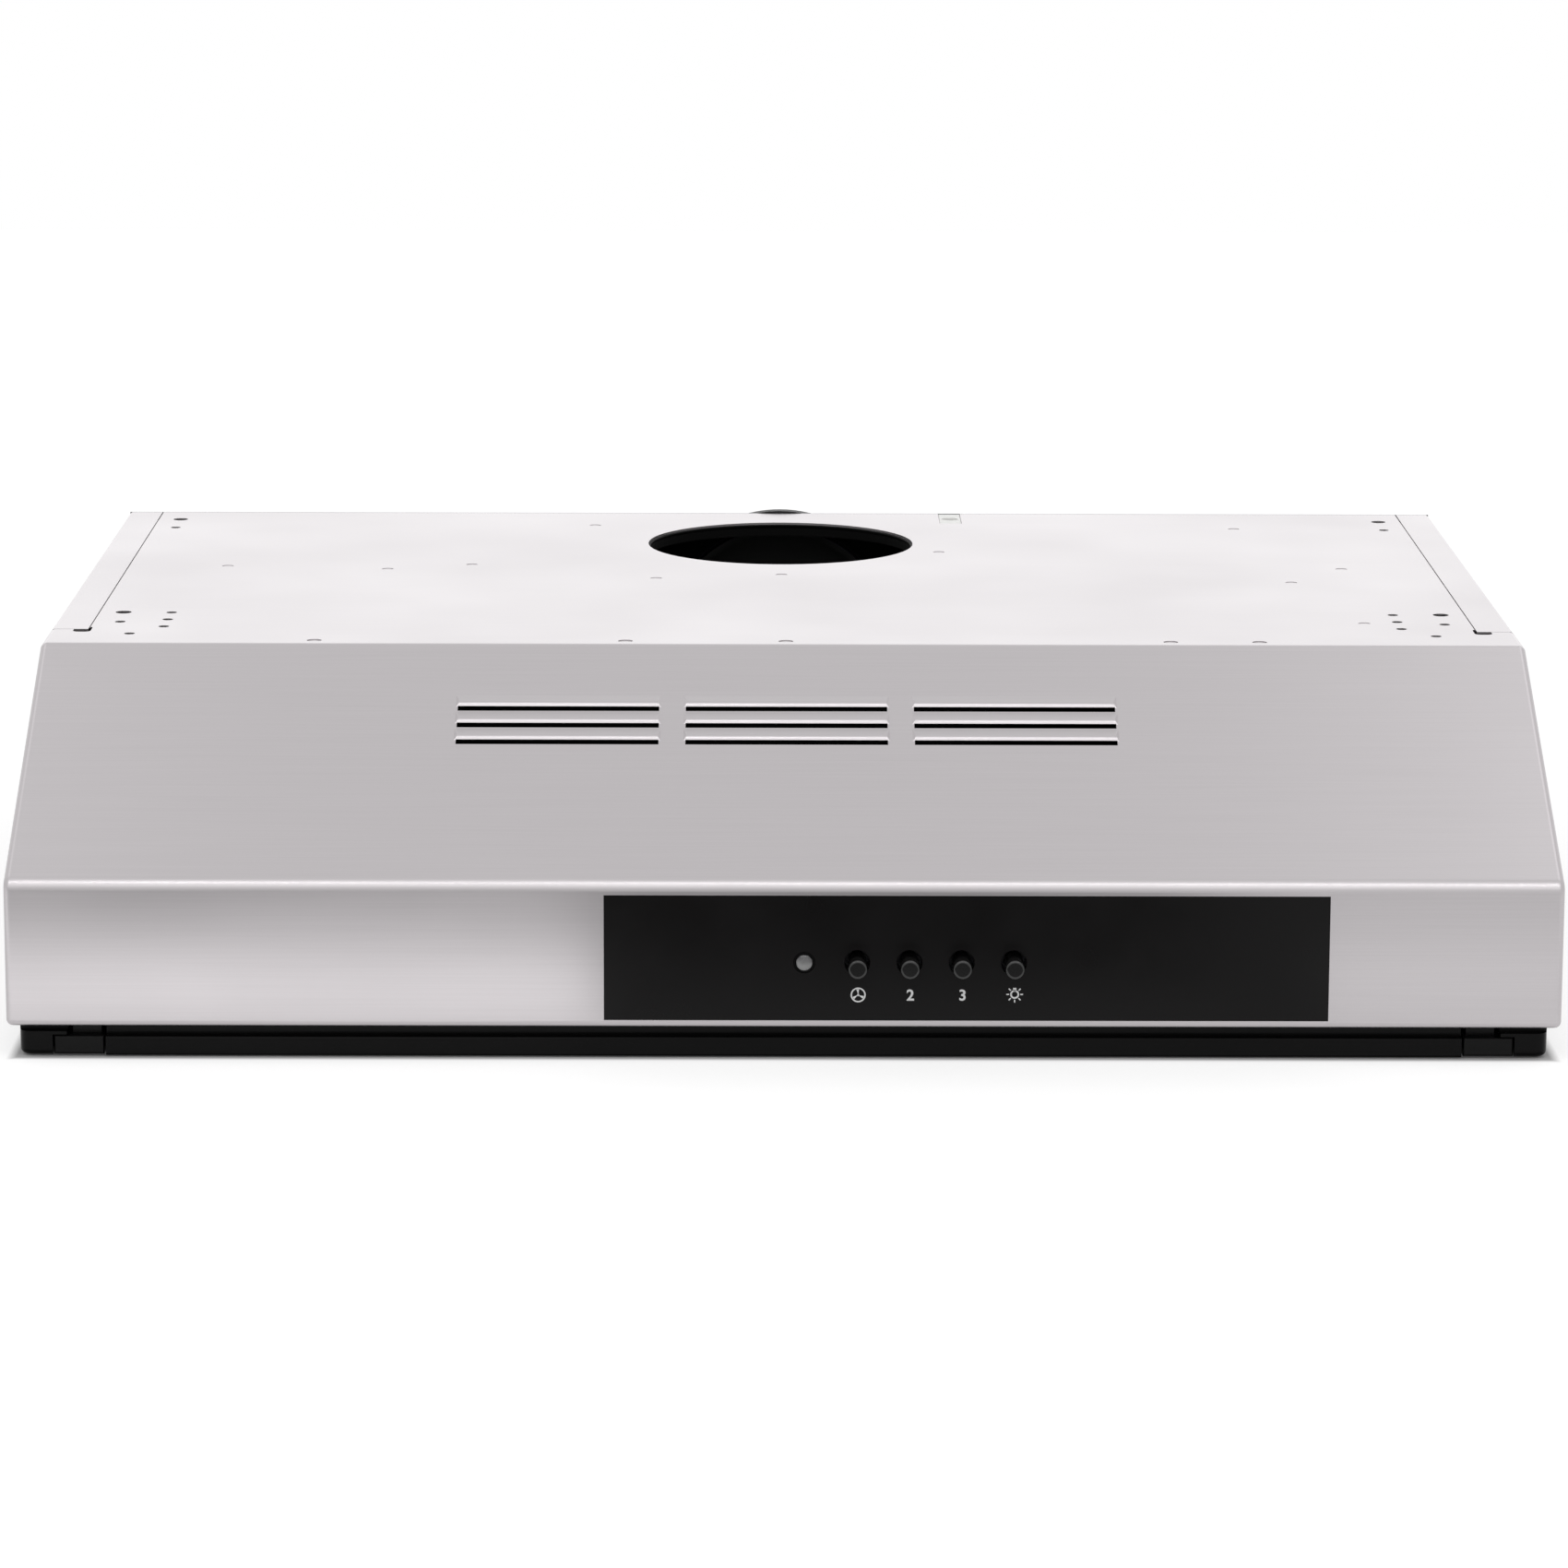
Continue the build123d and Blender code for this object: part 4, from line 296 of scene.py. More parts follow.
def make_finishes():
    """Every finish by the name of its material slot in the record, and three that only the scene has."""
    return {
        "stainless": brushed_stainless(),
        "galvanised": galvanised_sheet(),
        "back_with_painted_shade": back_with_painted_shade(),
        # Zinc plated and blue passivated steel: bright, a little cool, with soft wear
        "zinc": bare_metal("zinc_plate", "B9BEC4", "D2D6DA", rough=0.28, grain=3.0),
        # Black ABS with a fine spark grain: satin, nearly even, dark grey where it faces the light
        "panel_black": moulded(
            "panel_abs", "070606", "0C0A0B", rough=0.3, grain=0.35, gloss=0.16, relief=0.04,
        ),
        # Black ABS from a polished tool: a clear glint on each rounded edge
        "button_black": moulded(
            "button_abs", "060606", "0B0B0B", rough=0.14, grain=0.6, gloss=0.6, relief=0.01,
        ),
        # Black ABS of the catches: satin
        # Their black is darkened as painted shade of the recess under the lip
        "catch_black_painted_shade": moulded(
            "catch_abs_painted_shade", "080808", "101010", rough=0.3, grain=0.5, gloss=0.12, relief=0.06,
        ),
        # Black ABS of the grille's frame: darker and flatter than the panel; the extra darkness is painted
        # shade of the recess under the lip
        "frame_black": moulded(
            "frame_abs_painted_shade", "030303", "060606", rough=0.24, grain=0.4, gloss=0.1, relief=0.04,
        ),
        # Black polypropylene: waxy, greyer along its edges
        "cap_black": moulded("cap_polypropylene", "0C0C0C", "131313", rough=0.5, grain=0.5, gloss=0.3),
        # White polyamide: slightly warm and dull
        "gland_white": moulded("gland_polyamide", "F8F8F5", "FDFDFB", rough=0.5, grain=0.5),
        "pilot_lens": smoke_lens(),
        # Ivory PBT of lamp holders: heat proof, dull, a little yellow
        "lamp_body": moulded("holder_pbt", "D6D2C4", "E2DFD4", rough=0.5, grain=0.5),
        # Grey polyamide of the switch block: even and dull
        "switch_grey": moulded("switch_polyamide", "46474A", "525356", rough=0.5, grain=0.5),
        # Talc filled polypropylene: dark grey, dull, with flow clouds
        "blower_plastic": moulded(
            "blower_polypropylene", "1C1C1E", "262628", rough=0.55, grain=0.6, gloss=0.3,
        ),
        # Glass filled polypropylene: a greyer bloom than the housing
        "impeller_plastic": moulded(
            "impeller_polypropylene", "303033", "3C3C3F", rough=0.55, grain=0.5, gloss=0.35,
        ),
        # Zinc plated deep drawn steel: dull grey with a drawn grain
        "motor_steel": bare_metal("drawn_steel", "8E9092", "A6A8AA", rough=0.38, grain=5.0),
        "core_steel": core_laminations(),
        # Ground bright steel: clean and sharp
        "shaft_steel": bare_metal("ground_steel", "BCBCBE", "CFCFD1", rough=0.2, grain=1.0),
        # EPDM rubber: black and dry
        "rubber": moulded("epdm_rubber", "060606", "0A0A0A", rough=0.75, grain=0.8, gloss=0.1),
        # White ABS case of the capacitor: clean, with a soft shine
        "capacitor_case": moulded("capacitor_abs", "D8D8D4", "E4E4E1", rough=0.42, grain=0.4),
        # Black polypropylene of the air ways: nearly without shine, and darkened past its own black as
        # painted shade, so that they look deep
        "duct_plastic": moulded("duct_polypropylene_painted_shade", "050505", "080808", rough=0.6, grain=0.6, gloss=0.08),
        # Light grey polycarbonate of the terminal box: even, with a faint shine
        "terminal_plastic": moulded("terminal_polycarbonate", "BCBCB8", "C8C8C5", rough=0.4, grain=0.4),
        # Opal polycarbonate over the lamps: milky, its shine broken up by ribs
        "diffuser": opal("diffuser_opal", "EAE9E2", "F4F3EE", rough=0.3, through=0.25),
        # Opal glass of the bulbs: milky, with a clear shine
        "bulb_glass": opal("bulb_opal", "ECEAE0", "F6F4EC", rough=0.12, through=0.2),
        # Black powder coat on steel: tiny orange peel
        "grid_black": moulded("powder_coat", "0B0B0B", "121212", rough=0.5, grain=0.7, gloss=0.3),
        "filter_mat": filter_fleece(),
        # White printing ink on the panel: opaque and matt
        "ink": moulded("printing_ink", "F0F0F0", "F8F8F8", rough=0.6, grain=0.3, gloss=0.3),
    }


# The back panel's own finish paints shade on its inner side.
OWN_FINISH = {"back_panel": "back_with_painted_shade", "catch_left": "catch_black_painted_shade", "catch_right": "catch_black_painted_shade"}


def dress_nodes():
    """Gives each CAD node the finish of its material slot, or one of the scene's own."""
    for entry in frame["record"]["subparts"]:
        finish = OWN_FINISH.get(entry["node"], entry["material_slot"])
        piece = NODES[entry["node"]]
        piece.data.materials.clear()
        piece.data.materials.append(FINISHES[finish])


# Pieces made of repeated shapes

PAN_HEAD = {
    "Head Radius": 3.6 * MM, "Head Height": 2.2 * MM, "Crown Radius": 6.0 * MM, "Shank Radius": 1.9 * MM,
    "Shank Length": 8.0 * MM, "Slot Length": 3.9 * MM, "Slot Width": 0.9 * MM,
}
LID_HEAD = {
    "Head Radius": 2.6 * MM, "Head Height": 1.6 * MM, "Crown Radius": 4.4 * MM, "Shank Radius": 1.2 * MM,
    "Shank Length": 2.0 * MM, "Slot Length": 2.8 * MM, "Slot Width": 0.7 * MM,
}
SLOT_RISE = 0.95  # middle of the slot blocks, as a share of the head
LID_SCREW_INSET = 6.0
RIB_RADIUS = 0.9
RIB_PITCH = 4.0
RIB_MARGIN = 6.0


def new_tree(name, lengths):
    """An empty Geometry Nodes tree whose inputs are the host's points, named lengths, a turn and a finish."""
    tree = bpy.data.node_groups.new(name, "GeometryNodeTree")
    sockets = [("Geometry", "NodeSocketGeometry")]
    sockets += [(length, "NodeSocketFloat") for length in lengths]
    sockets += [("Turn", "NodeSocketVector"), ("Finish", "NodeSocketMaterial")]
    for label, kind in sockets:
        tree.interface.new_socket(label, in_out="INPUT", socket_type=kind)
    tree.interface.new_socket("Geometry", in_out="OUTPUT", socket_type="NodeSocketGeometry")
    return tree, add(tree, "NodeGroupInput").outputs


def close_tree(tree, size, shape):
    """Sets the shape on each of the host's points, turned, and ends the tree."""
    inputs = {"Points": size["Geometry"], "Instance": shape, "Rotation": size["Turn"]}
    copies = add(tree, "GeometryNodeInstanceOnPoints", inputs).outputs[0]
    solid = add(tree, "GeometryNodeRealizeInstances", {"Geometry": copies}).outputs[0]
    inputs = {"Geometry": solid, "Material": size["Finish"]}
    dressed = add(tree, "GeometryNodeSetMaterial", inputs).outputs[0]
    add(tree, "NodeGroupOutput", {"Geometry": dressed})


def moved_up(tree, shape, height, share):
    """The shape moved along Z by a share of a height."""
    rise = add(tree, "ShaderNodeMath", {0: height, 1: share}, operation="MULTIPLY").outputs[0]
    offset = add(tree, "ShaderNodeCombineXYZ", {"Z": rise}).outputs[0]
    return add(tree, "GeometryNodeTransform", {"Geometry": shape, "Translation": offset}).outputs[0]


def screw_tree():
    """Pan head screws with a cross recess: head along +Z, shank along -Z, before they are turned."""
    tree, size = new_tree("pan_head_screw", PAN_HEAD)
    drum = add(tree, "GeometryNodeMeshCylinder", {
        "Vertices": 24, "Radius": size["Head Radius"], "Depth": size["Head Height"],
    }).outputs["Mesh"]
    drum = moved_up(tree, drum, size["Head Height"], 0.5)
    ball = add(tree, "GeometryNodeMeshUVSphere", {
        "Segments": 32, "Rings": 24, "Radius": size["Crown Radius"],
    }).outputs["Mesh"]
    inputs = {0: size["Head Height"], 1: size["Crown Radius"]}
    drop = add(tree, "ShaderNodeMath", inputs, operation="SUBTRACT").outputs[0]
    ball = moved_up(tree, ball, drop, 1.0)
    exact = {"solver": "EXACT"}
    crown = add(tree, "GeometryNodeMeshBoolean", {"Mesh 2": drum}, operation="INTERSECT", **exact)
    tree.links.new(ball, crown.inputs["Mesh 2"])
    inputs = {"Mesh 1": crown.outputs[0]}
    head = add(tree, "GeometryNodeMeshBoolean", inputs, operation="DIFFERENCE", **exact)
    for long_way, short_way in (("X", "Y"), ("Y", "X")):
        block = add(tree, "ShaderNodeCombineXYZ", {
            long_way: size["Slot Length"], short_way: size["Slot Width"], "Z": size["Head Height"],
        }).outputs[0]
        slot = add(tree, "GeometryNodeMeshCube", {"Size": block}).outputs["Mesh"]
        tree.links.new(moved_up(tree, slot, size["Head Height"], SLOT_RISE), head.inputs["Mesh 2"])
    shank = add(tree, "GeometryNodeMeshCylinder", {
        "Vertices": 16, "Radius": size["Shank Radius"], "Depth": size["Shank Length"],
    }).outputs["Mesh"]
    whole = add(tree, "GeometryNodeJoinGeometry", {"Geometry": head.outputs[0]})
    tree.links.new(moved_up(tree, shank, size["Shank Length"], -0.5), whole.inputs["Geometry"])
    close_tree(tree, size, whole.outputs[0])
    return tree


def rib_tree():
    """Half round ribs along X, sunk to their middle in what carries them."""
    tree, size = new_tree("half_round_rib", ("Radius", "Length"))
    rod = add(tree, "GeometryNodeMeshCylinder", {
        "Vertices": 12, "Radius": size["Radius"], "Depth": size["Length"],
    }).outputs["Mesh"]
    close_tree(tree, size, rod)
    return tree


def piece_on_points(name, tree, points, body, values):
    """Runs the tree on a host of points in millimetres and keeps the result as a plain mesh on a body."""
    mesh = bpy.data.meshes.new(name)
    mesh.from_pydata([Vector(point) * MM for point in points], [], [])
    piece = bpy.data.objects.new(name, mesh)
    SCENE.collection.objects.link(piece)
    modifier = piece.modifiers.new(name, "NODES")
    modifier.node_group = tree
    for item in tree.interface.items_tree:
        if item.in_out == "INPUT" and item.name in values:
            modifier[item.identifier] = values[item.name]
    graph = bpy.context.evaluated_depsgraph_get()
    made = bpy.data.meshes.new_from_object(piece.evaluated_get(graph), depsgraph=graph)
    piece.modifiers.remove(modifier)
    piece.data = made
    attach(piece, body)
    return piece


def box_mm(node):
    """Lowest and highest corner of a CAD node at rest, in millimetres."""
    return [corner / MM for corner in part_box(node)]


def solid_centres(node):
    """Middle of each separate solid of a CAD node, in millimetres."""
    mesh = bmesh.new()
    mesh.from_mesh(NODES[node].data)
    bmesh.ops.remove_doubles(mesh, verts=mesh.verts, dist=1e-6)
    left = set(mesh.verts)
    centres = []
    while left:
        found = [left.pop()]
        for vert in found:
            for edge in vert.link_edges:
                other = edge.other_vert(vert)
                if other in left:
                    left.remove(other)
                    found.append(other)
        low = [min(vert.co[i] for vert in found) for i in range(3)]
        high = [max(vert.co[i] for vert in found) for i in range(3)]
        centres.append((Vector(low) + Vector(high)) / 2 / MM)
    mesh.free()
    return sorted(centres, key=lambda centre: tuple(centre))


def add_screws():
    """Screws of the back panel, which replace the plain ones, and of the terminal box's lid."""
    tree = screw_tree()
    seat = box_mm("back_panel")[1].y
    places = [(centre.x, seat, centre.z) for centre in solid_centres("back_panel_screws")]
    values = {**PAN_HEAD, "Turn": (-math.pi / 2, 0, 0), "Finish": FINISHES["zinc"]}
    screws = piece_on_points("rear_screws", tree, places, "hood", values)
    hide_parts("back_panel_screws")
    low, high = box_mm("terminal_lid")
    places = [
        (x, y, low.z)
        for x in (low.x + LID_SCREW_INSET, high.x - LID_SCREW_INSET)
        for y in (low.y + LID_SCREW_INSET, high.y - LID_SCREW_INSET)
    ]
    values = {**LID_HEAD, "Turn": (math.pi, 0, 0), "Finish": FINISHES["zinc"]}
    piece_on_points("lid_screws", tree, places, "hood", values)


def add_diffuser_ribs():
    """Light spreading ribs under both lamp windows."""
    tree = rib_tree()
    low, high = box_mm("lamp_diffusers")
    bottom = box_mm("lamp_panel")[0].z
    depth = high.y - low.y - 2 * RIB_MARGIN
    rows = int(depth / RIB_PITCH)
    middle_y = (low.y + high.y) / 2
    centres = [centre.x for centre in solid_centres("lamp_diffusers")]
    places = [
        (x, middle_y + (row - (rows - 1) / 2) * RIB_PITCH, bottom)
        for x in centres for row in range(rows)
    ]
    width = 2 * (high.x - max(centres)) - 2 * RIB_MARGIN
    values = {
        "Radius": RIB_RADIUS * MM, "Length": width * MM,
        "Turn": (0, math.pi / 2, 0), "Finish": FINISHES["diffuser"],
    }
    piece_on_points("diffuser_ribs", tree, places, "grille", values)


# Turned pieces, in millimetres and radians

TURN_STEPS = 96
LENS_RADIUS = 3.1
LENS_EDGE = 1.25
LENS_FLANGE = 1.0
LENS_GAP = 1.1
GASKET_PLAY = 0.05
GASKET_SINK = 0.1
SEAL_PLAY = 0.05
SEAL_WALL = 0.5
SEAL_BEAD = 0.45
SEAL_SINK = 0.9
SEAL_NECK = 2.4
SEAL_BEAD_END = 1.2 * math.pi


def add_turned(name, profile, centre, body, finish, upright=True):
    """A closed profile of radius and height, in millimetres, turned about Z, or about -Y if not upright."""
    whole = bmesh.new()
    rings = []
    for step in range(TURN_STEPS):
        turn = Matrix.Rotation(2 * math.pi * step / TURN_STEPS, 3, "Z")
        rings.append([whole.verts.new(turn @ Vector((radius, 0, height))) for radius, height in profile])
    for ring, after in zip(rings, rings[1:] + rings[:1]):
        for i in range(len(profile)):
            j = (i + 1) % len(profile)
            whole.faces.new((ring[i], after[i], after[j], ring[j]))
    bmesh.ops.remove_doubles(whole, verts=whole.verts, dist=1e-4)
    bmesh.ops.recalc_face_normals(whole, faces=whole.faces)
    lay = Matrix.Identity(4) if upright else Matrix.Rotation(math.pi / 2, 4, "X")
    whole.transform(Matrix.Scale(MM, 4) @ Matrix.Translation(centre) @ lay)
    mesh = bpy.data.meshes.new(name)
    whole.to_mesh(mesh)
    whole.free()
    mesh.materials.append(FINISHES[finish])
    piece = bpy.data.objects.new(name, mesh)
    SCENE.collection.objects.link(piece)
    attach(piece, body)
    return piece


def arc(radius, height, size, start, end, steps=8):
    """Points of an arc in a profile, from one angle to another."""
    angles = [start + (end - start) * i / steps for i in range(steps + 1)]
    return [(radius + size * math.cos(a), height + size * math.sin(a)) for a in angles]


def add_pilot():
    """A domed lens cap that replaces the plain one, and the black gasket in the gap round it, whose black
    ring is partly painted shade of that gap.
    """
    low, high = box_mm("pilot_lens")
    depth = high.y - low.y
    flange = (high.x - low.x) / 2
    crown = (LENS_RADIUS ** 2 + LENS_EDGE ** 2) / (2 * LENS_EDGE)
    edge = math.acos(LENS_RADIUS / crown)
    dome = arc(0, depth - crown, crown, edge, math.pi / 2, steps=12)
    profile = [(0, 0), (flange, 0), (flange, LENS_FLANGE), (LENS_RADIUS, LENS_FLANGE)] + dome
    centre = ((low.x + high.x) / 2, high.y, (low.z + high.z) / 2)
    lens = add_turned("pilot_dome", profile, centre, "hood", "pilot_lens", upright=False)
    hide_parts("pilot_lens")
    for face in lens.data.polygons:
        face.use_smooth = True
    front = high.y - box_mm("control_panel")[0].y
    bead = LENS_GAP / 2 - GASKET_PLAY
    inner = LENS_RADIUS + GASKET_PLAY
    foot = LENS_FLANGE + GASKET_PLAY
    ring = [(inner, foot), (inner + 2 * bead, foot)]
    ring += arc(inner + bead, front - bead - GASKET_SINK, bead, 0, math.pi)
    add_turned("pilot_gasket", ring, centre, "hood", "rubber", upright=False)


def add_duct_seal():
    """Black seal with a rounded bead inside the collar of the duct outlet."""
    outlet = next(mount for mount in frame["record"]["mounts"] if mount["name"] == "duct_outlet")
    x, y, z = (value / MM for value in outlet["pos_m"])
    radius = outlet["dims"]["r_mm"] - SEAL_PLAY
    half = outlet["dims"]["length_mm"] / 2
    top = half - SEAL_SINK
    profile = [(radius, -half), (radius, top)]
    profile += arc(radius - SEAL_BEAD, top - SEAL_BEAD, SEAL_BEAD, math.pi / 2, SEAL_BEAD_END)
    profile += [(radius - SEAL_WALL, half - SEAL_NECK), (radius - SEAL_WALL, -half)]
    add_turned("duct_seal", profile, (x, y, z), "hood", "duct_plastic")


# Print on the control panel, in millimetres

INK_THICKNESS = 0.06
MARK_DROP = 12.7
MARK_SHIFT = 0.4
MARK_EXTRUDE = 0.5
FAN_SIZE = 5.85
DIGIT_SIZE = 4.45
DIGIT_BOLD = 0.022
LAMP_SIZE = 5.8
# Shares of the fan mark's radius, and angles
FAN_RING = 0.81
FAN_HUB = 0.16
FAN_BLADES = 3
BLADE_ROOT = 0.10
BLADE_STEP = 0.115
BLADE_STEPS = 7
BLADE_HALF = 0.24
BLADE_SWEEP = 0.12
# Shares of the lamp mark's radius
BULB_OUTSIDE = 0.54
BULB_INSIDE = 0.34
CAP_HALF = 0.20
CAP_BOTTOM = 0.42
CAP_TOP = 0.80
RAY_HALF = 0.075
RAY_START = 0.66


def polar(radius, angle):
    """Flat point at a radius and an angle."""
    return radius * math.cos(angle), radius * math.sin(angle)


def circle(radius, count=40):
    """Ring of points round the middle."""
    return [polar(radius, 2 * math.pi * i / count) for i in range(count)]


def fan_outlines():
    """A ring, a hub and three swept blades, in a circle of radius 1."""
    outlines = [[circle(1.0), circle(FAN_RING)], [circle(FAN_HUB, 16)]]
    radii = [BLADE_ROOT + BLADE_STEP * step for step in range(BLADE_STEPS)]
    for i in range(FAN_BLADES):
        start = math.pi / 2 + i * 2 * math.pi / FAN_BLADES
        leading = [polar(radius, start - BLADE_HALF + BLADE_SWEEP * radius) for radius in radii]
        trailing = [polar(radius, start + BLADE_HALF + BLADE_SWEEP * radius) for radius in reversed(radii)]
        outlines.append([leading + trailing])
    return outlines


def lamp_outlines():
    """A round bulb with its cap upward and seven rays, about 1 in radius."""
    cap = [(-CAP_HALF, CAP_BOTTOM), (CAP_HALF, CAP_BOTTOM), (CAP_HALF, CAP_TOP), (-CAP_HALF, CAP_TOP)]
    outlines = [[circle(BULB_OUTSIDE), circle(BULB_INSIDE)], [cap]]
    for i in range(1, 8):
        angle = math.pi / 2 + i * math.pi / 4
        side = Vector(polar(RAY_HALF, angle + math.pi / 2))
        near = Vector(polar(RAY_START, angle))
        far = Vector(polar(1.0, angle))
        outlines.append([[tuple(near - side), tuple(far - side), tuple(far + side), tuple(near + side)]])
    return outlines


def digit_outline(digit):
    """The digit as a filled curve, a little bolder than the font."""
    text = bpy.data.curves.new("digit", "FONT")
    text.body = digit
    text.offset = DIGIT_BOLD
    text.extrude = MARK_EXTRUDE
    return [text]


def curves_of(outlines):
    """A flat filled curve for each outline, whose second ring, where it has one, is a hole."""
    curves = []
    for rings in outlines:
        curve = bpy.data.curves.new("mark", "CURVE")
        curve.dimensions = "2D"
        curve.fill_mode = "BOTH"
        curve.extrude = MARK_EXTRUDE
        for ring in rings:
            spline = curve.splines.new("POLY")
            spline.points.add(len(ring) - 1)
            for point, place in zip(spline.points, ring):
                point.co = (place[0], place[1], 0, 1)
            spline.use_cyclic_u = True
        curves.append(curve)
    return curves


def mark_mesh(curves, size, x, y, z):
    """The curves as one mesh of the given height, upright on the panel with its middle at x, z."""
    mark = bmesh.new()
    for curve in curves:
        carrier = bpy.data.objects.new("mark", curve)
        SCENE.collection.objects.link(carrier)
        graph = bpy.context.evaluated_depsgraph_get()
        flat = bpy.data.meshes.new_from_object(carrier.evaluated_get(graph), depsgraph=graph)
        mark.from_mesh(flat)
        bpy.data.objects.remove(carrier)
        bpy.data.meshes.remove(flat)
    low = [min(vert.co[i] for vert in mark.verts) for i in range(2)]
    high = [max(vert.co[i] for vert in mark.verts) for i in range(2)]
    scale = size / (high[1] - low[1])
    middle = Vector(((low[0] + high[0]) / 2, (low[1] + high[1]) / 2, -MARK_EXTRUDE))
    place = (
        Matrix.Translation((x, y, z)) @ Matrix.Rotation(math.pi / 2, 4, "X")
        @ Matrix.Diagonal((scale, scale, INK_THICKNESS, 1)) @ Matrix.Translation(-middle)
    )
    mark.transform(Matrix.Scale(MM, 4) @ place)
    return mark


def add_panel_print():
    """White marks under the four buttons: fan, 2, 3 and lamp."""
    face = box_mm("control_panel")[0].y
    buttons = [box_mm(f"button_{i}") for i in range(1, 5)]
    xs = [(low.x + high.x) / 2 + MARK_SHIFT for low, high in buttons]
    z = (buttons[0][0].z + buttons[0][1].z) / 2 - MARK_DROP
    whole = bmesh.new()
    marks = (
        (curves_of(fan_outlines()), FAN_SIZE), (digit_outline("2"), DIGIT_SIZE),
        (digit_outline("3"), DIGIT_SIZE), (curves_of(lamp_outlines()), LAMP_SIZE),
    )
    for x, (curves, size) in zip(xs, marks):
        mark = mark_mesh(curves, size, x, face, z)
        part = bpy.data.meshes.new("mark")
        mark.to_mesh(part)
        mark.free()
        whole.from_mesh(part)
        bpy.data.meshes.remove(part)
    bmesh.ops.remove_doubles(whole, verts=whole.verts, dist=1e-7)
    bmesh.ops.recalc_face_normals(whole, faces=whole.faces)
    mesh = bpy.data.meshes.new("panel_print")
    whole.to_mesh(mesh)
    whole.free()
    mesh.materials.append(FINISHES["ink"])
    piece = bpy.data.objects.new("panel_print", mesh)
    SCENE.collection.objects.link(piece)
    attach(piece, "hood")


# Filter mat, in millimetres

MAT_COLUMNS = 192
MAT_ROWS = 110
GRID_COLUMNS = 24
GRID_ROWS = 12
GRID_BORDER = 14.0
MAT_SAG = 0.4
MAT_LOFT = 0.9
MAT_EDGE = 9.0
MAT_RIM = 0.45  # height of the cut edges, as a share of the mat's thickness
MAT_RISE = 0.47  # how much more of it the middle has
RIPPLE_COUNT = 9
RIPPLE_RATE = (0.01, 0.05)  # radians in a millimetre
RIPPLE_PHASE = 6.28
RIPPLE_HEIGHT = 0.35
RIPPLE_SEED = 7


def loft(share):
    """0 at both ends and 1 in the middle."""
    return math.sin(math.pi * min(max(share, 0.0), 1.0))


def add_filter_mat():
    """Cut fleece on the grid: thin at its edges, pinched under the wires, sagging into the grid's holes."""
    low, high = box_mm("filter_mat")
    grid_low, grid_high = box_mm("filter_grid")
    wires = sorted({round(centre.y, 3) for centre in solid_centres("filter_wires")})
    bands = [low.y] + wires + [high.y]
    pitch_x = (grid_high.x - grid_low.x - 2 * GRID_BORDER) / GRID_COLUMNS
    pitch_y = (grid_high.y - grid_low.y - 2 * GRID_BORDER) / GRID_ROWS
    thick = high.z - low.z
    draw = random.Random(RIPPLE_SEED).uniform
    waves = [(draw(*RIPPLE_RATE), draw(*RIPPLE_RATE), draw(0, RIPPLE_PHASE)) for _ in range(RIPPLE_COUNT)]
    verts = []
    for side in (0, 1):
        for row in range(MAT_ROWS + 1):
            y = low.y + (high.y - low.y) * row / MAT_ROWS
            band = max(i for i in range(len(bands) - 1) if y >= bands[i] - 1e-6)
            puff = loft((y - bands[band]) / (bands[band + 1] - bands[band]))
            hole_y = loft(((y - grid_low.y - GRID_BORDER) / pitch_y) % 1.0)
            for column in range(MAT_COLUMNS + 1):
                x = low.x + (high.x - low.x) * column / MAT_COLUMNS
                rim = min(x - low.x, high.x - x, y - low.y, high.y - y)
                edge = math.sin(min(rim / MAT_EDGE, 1.0) * math.pi / 2)
                if side:
                    ripple = sum(math.sin(a * x + b * y + c) for a, b, c in waves) / len(waves)
                    rise = thick * (MAT_RIM + MAT_RISE * edge)
                    rise += edge * (MAT_LOFT * puff + RIPPLE_HEIGHT * ripple)
                    verts.append((x, y, low.z + rise))
                else:
                    hole_x = loft(((x - grid_low.x - GRID_BORDER) / pitch_x) % 1.0)
                    verts.append((x, y, low.z - MAT_SAG * edge * (hole_x * hole_y) ** 2))
    width = MAT_COLUMNS + 1
    layer = width * (MAT_ROWS + 1)
    faces = []
    for row in range(MAT_ROWS):
        for column in range(MAT_COLUMNS):
            a = row * width + column
            faces.append((a, a + width, a + width + 1, a + 1))
            faces.append((a + layer, a + layer + 1, a + layer + width + 1, a + layer + width))
    rim = list(range(width)) + [row * width + MAT_COLUMNS for row in range(1, MAT_ROWS + 1)]
    rim += [MAT_ROWS * width + column for column in range(MAT_COLUMNS - 1, -1, -1)]
    rim += [row * width for row in range(MAT_ROWS - 1, 0, -1)]
    for a, b in zip(rim, rim[1:] + rim[:1]):
        faces.append((a, b, b + layer, a + layer))
    mesh = bpy.data.meshes.new("filter_fleece")
    mesh.from_pydata([Vector(vert) * MM for vert in verts], [], faces)
    mesh.polygons.foreach_set("use_smooth", [True] * len(mesh.polygons))
    mesh.materials.append(FINISHES["filter_mat"])
    piece = bpy.data.objects.new("filter_fleece", mesh)
    SCENE.collection.objects.link(piece)
    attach(piece, "grille")
    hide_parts("filter_mat")


# Studio, in metres and watts

GROUND = CAD_BOX[0][2] - 0.5 * MM
FLOOR_REACH = 12.0
FLOOR_BACK = 2.7
CARD_LEVEL = GROUND + 1 * MM
STRIP_LEVEL = GROUND + 2 * MM
FRAME_CORNERS = ("front_corner_left", "front_corner_right", "rear_corners")
PAINTED_SHADOW_FADE = (1 * MM, 5 * MM)
OPENING_INSET = 3 * MM
PAPER_GLOW = 0.62
PAINTED_SHADOW_GLOW = 0.04
WORLD_LIGHT = 0.55
HOOD_FRONT = (0, -0.3, -0.1)
HOOD_TOP = (0, -0.2, 0)


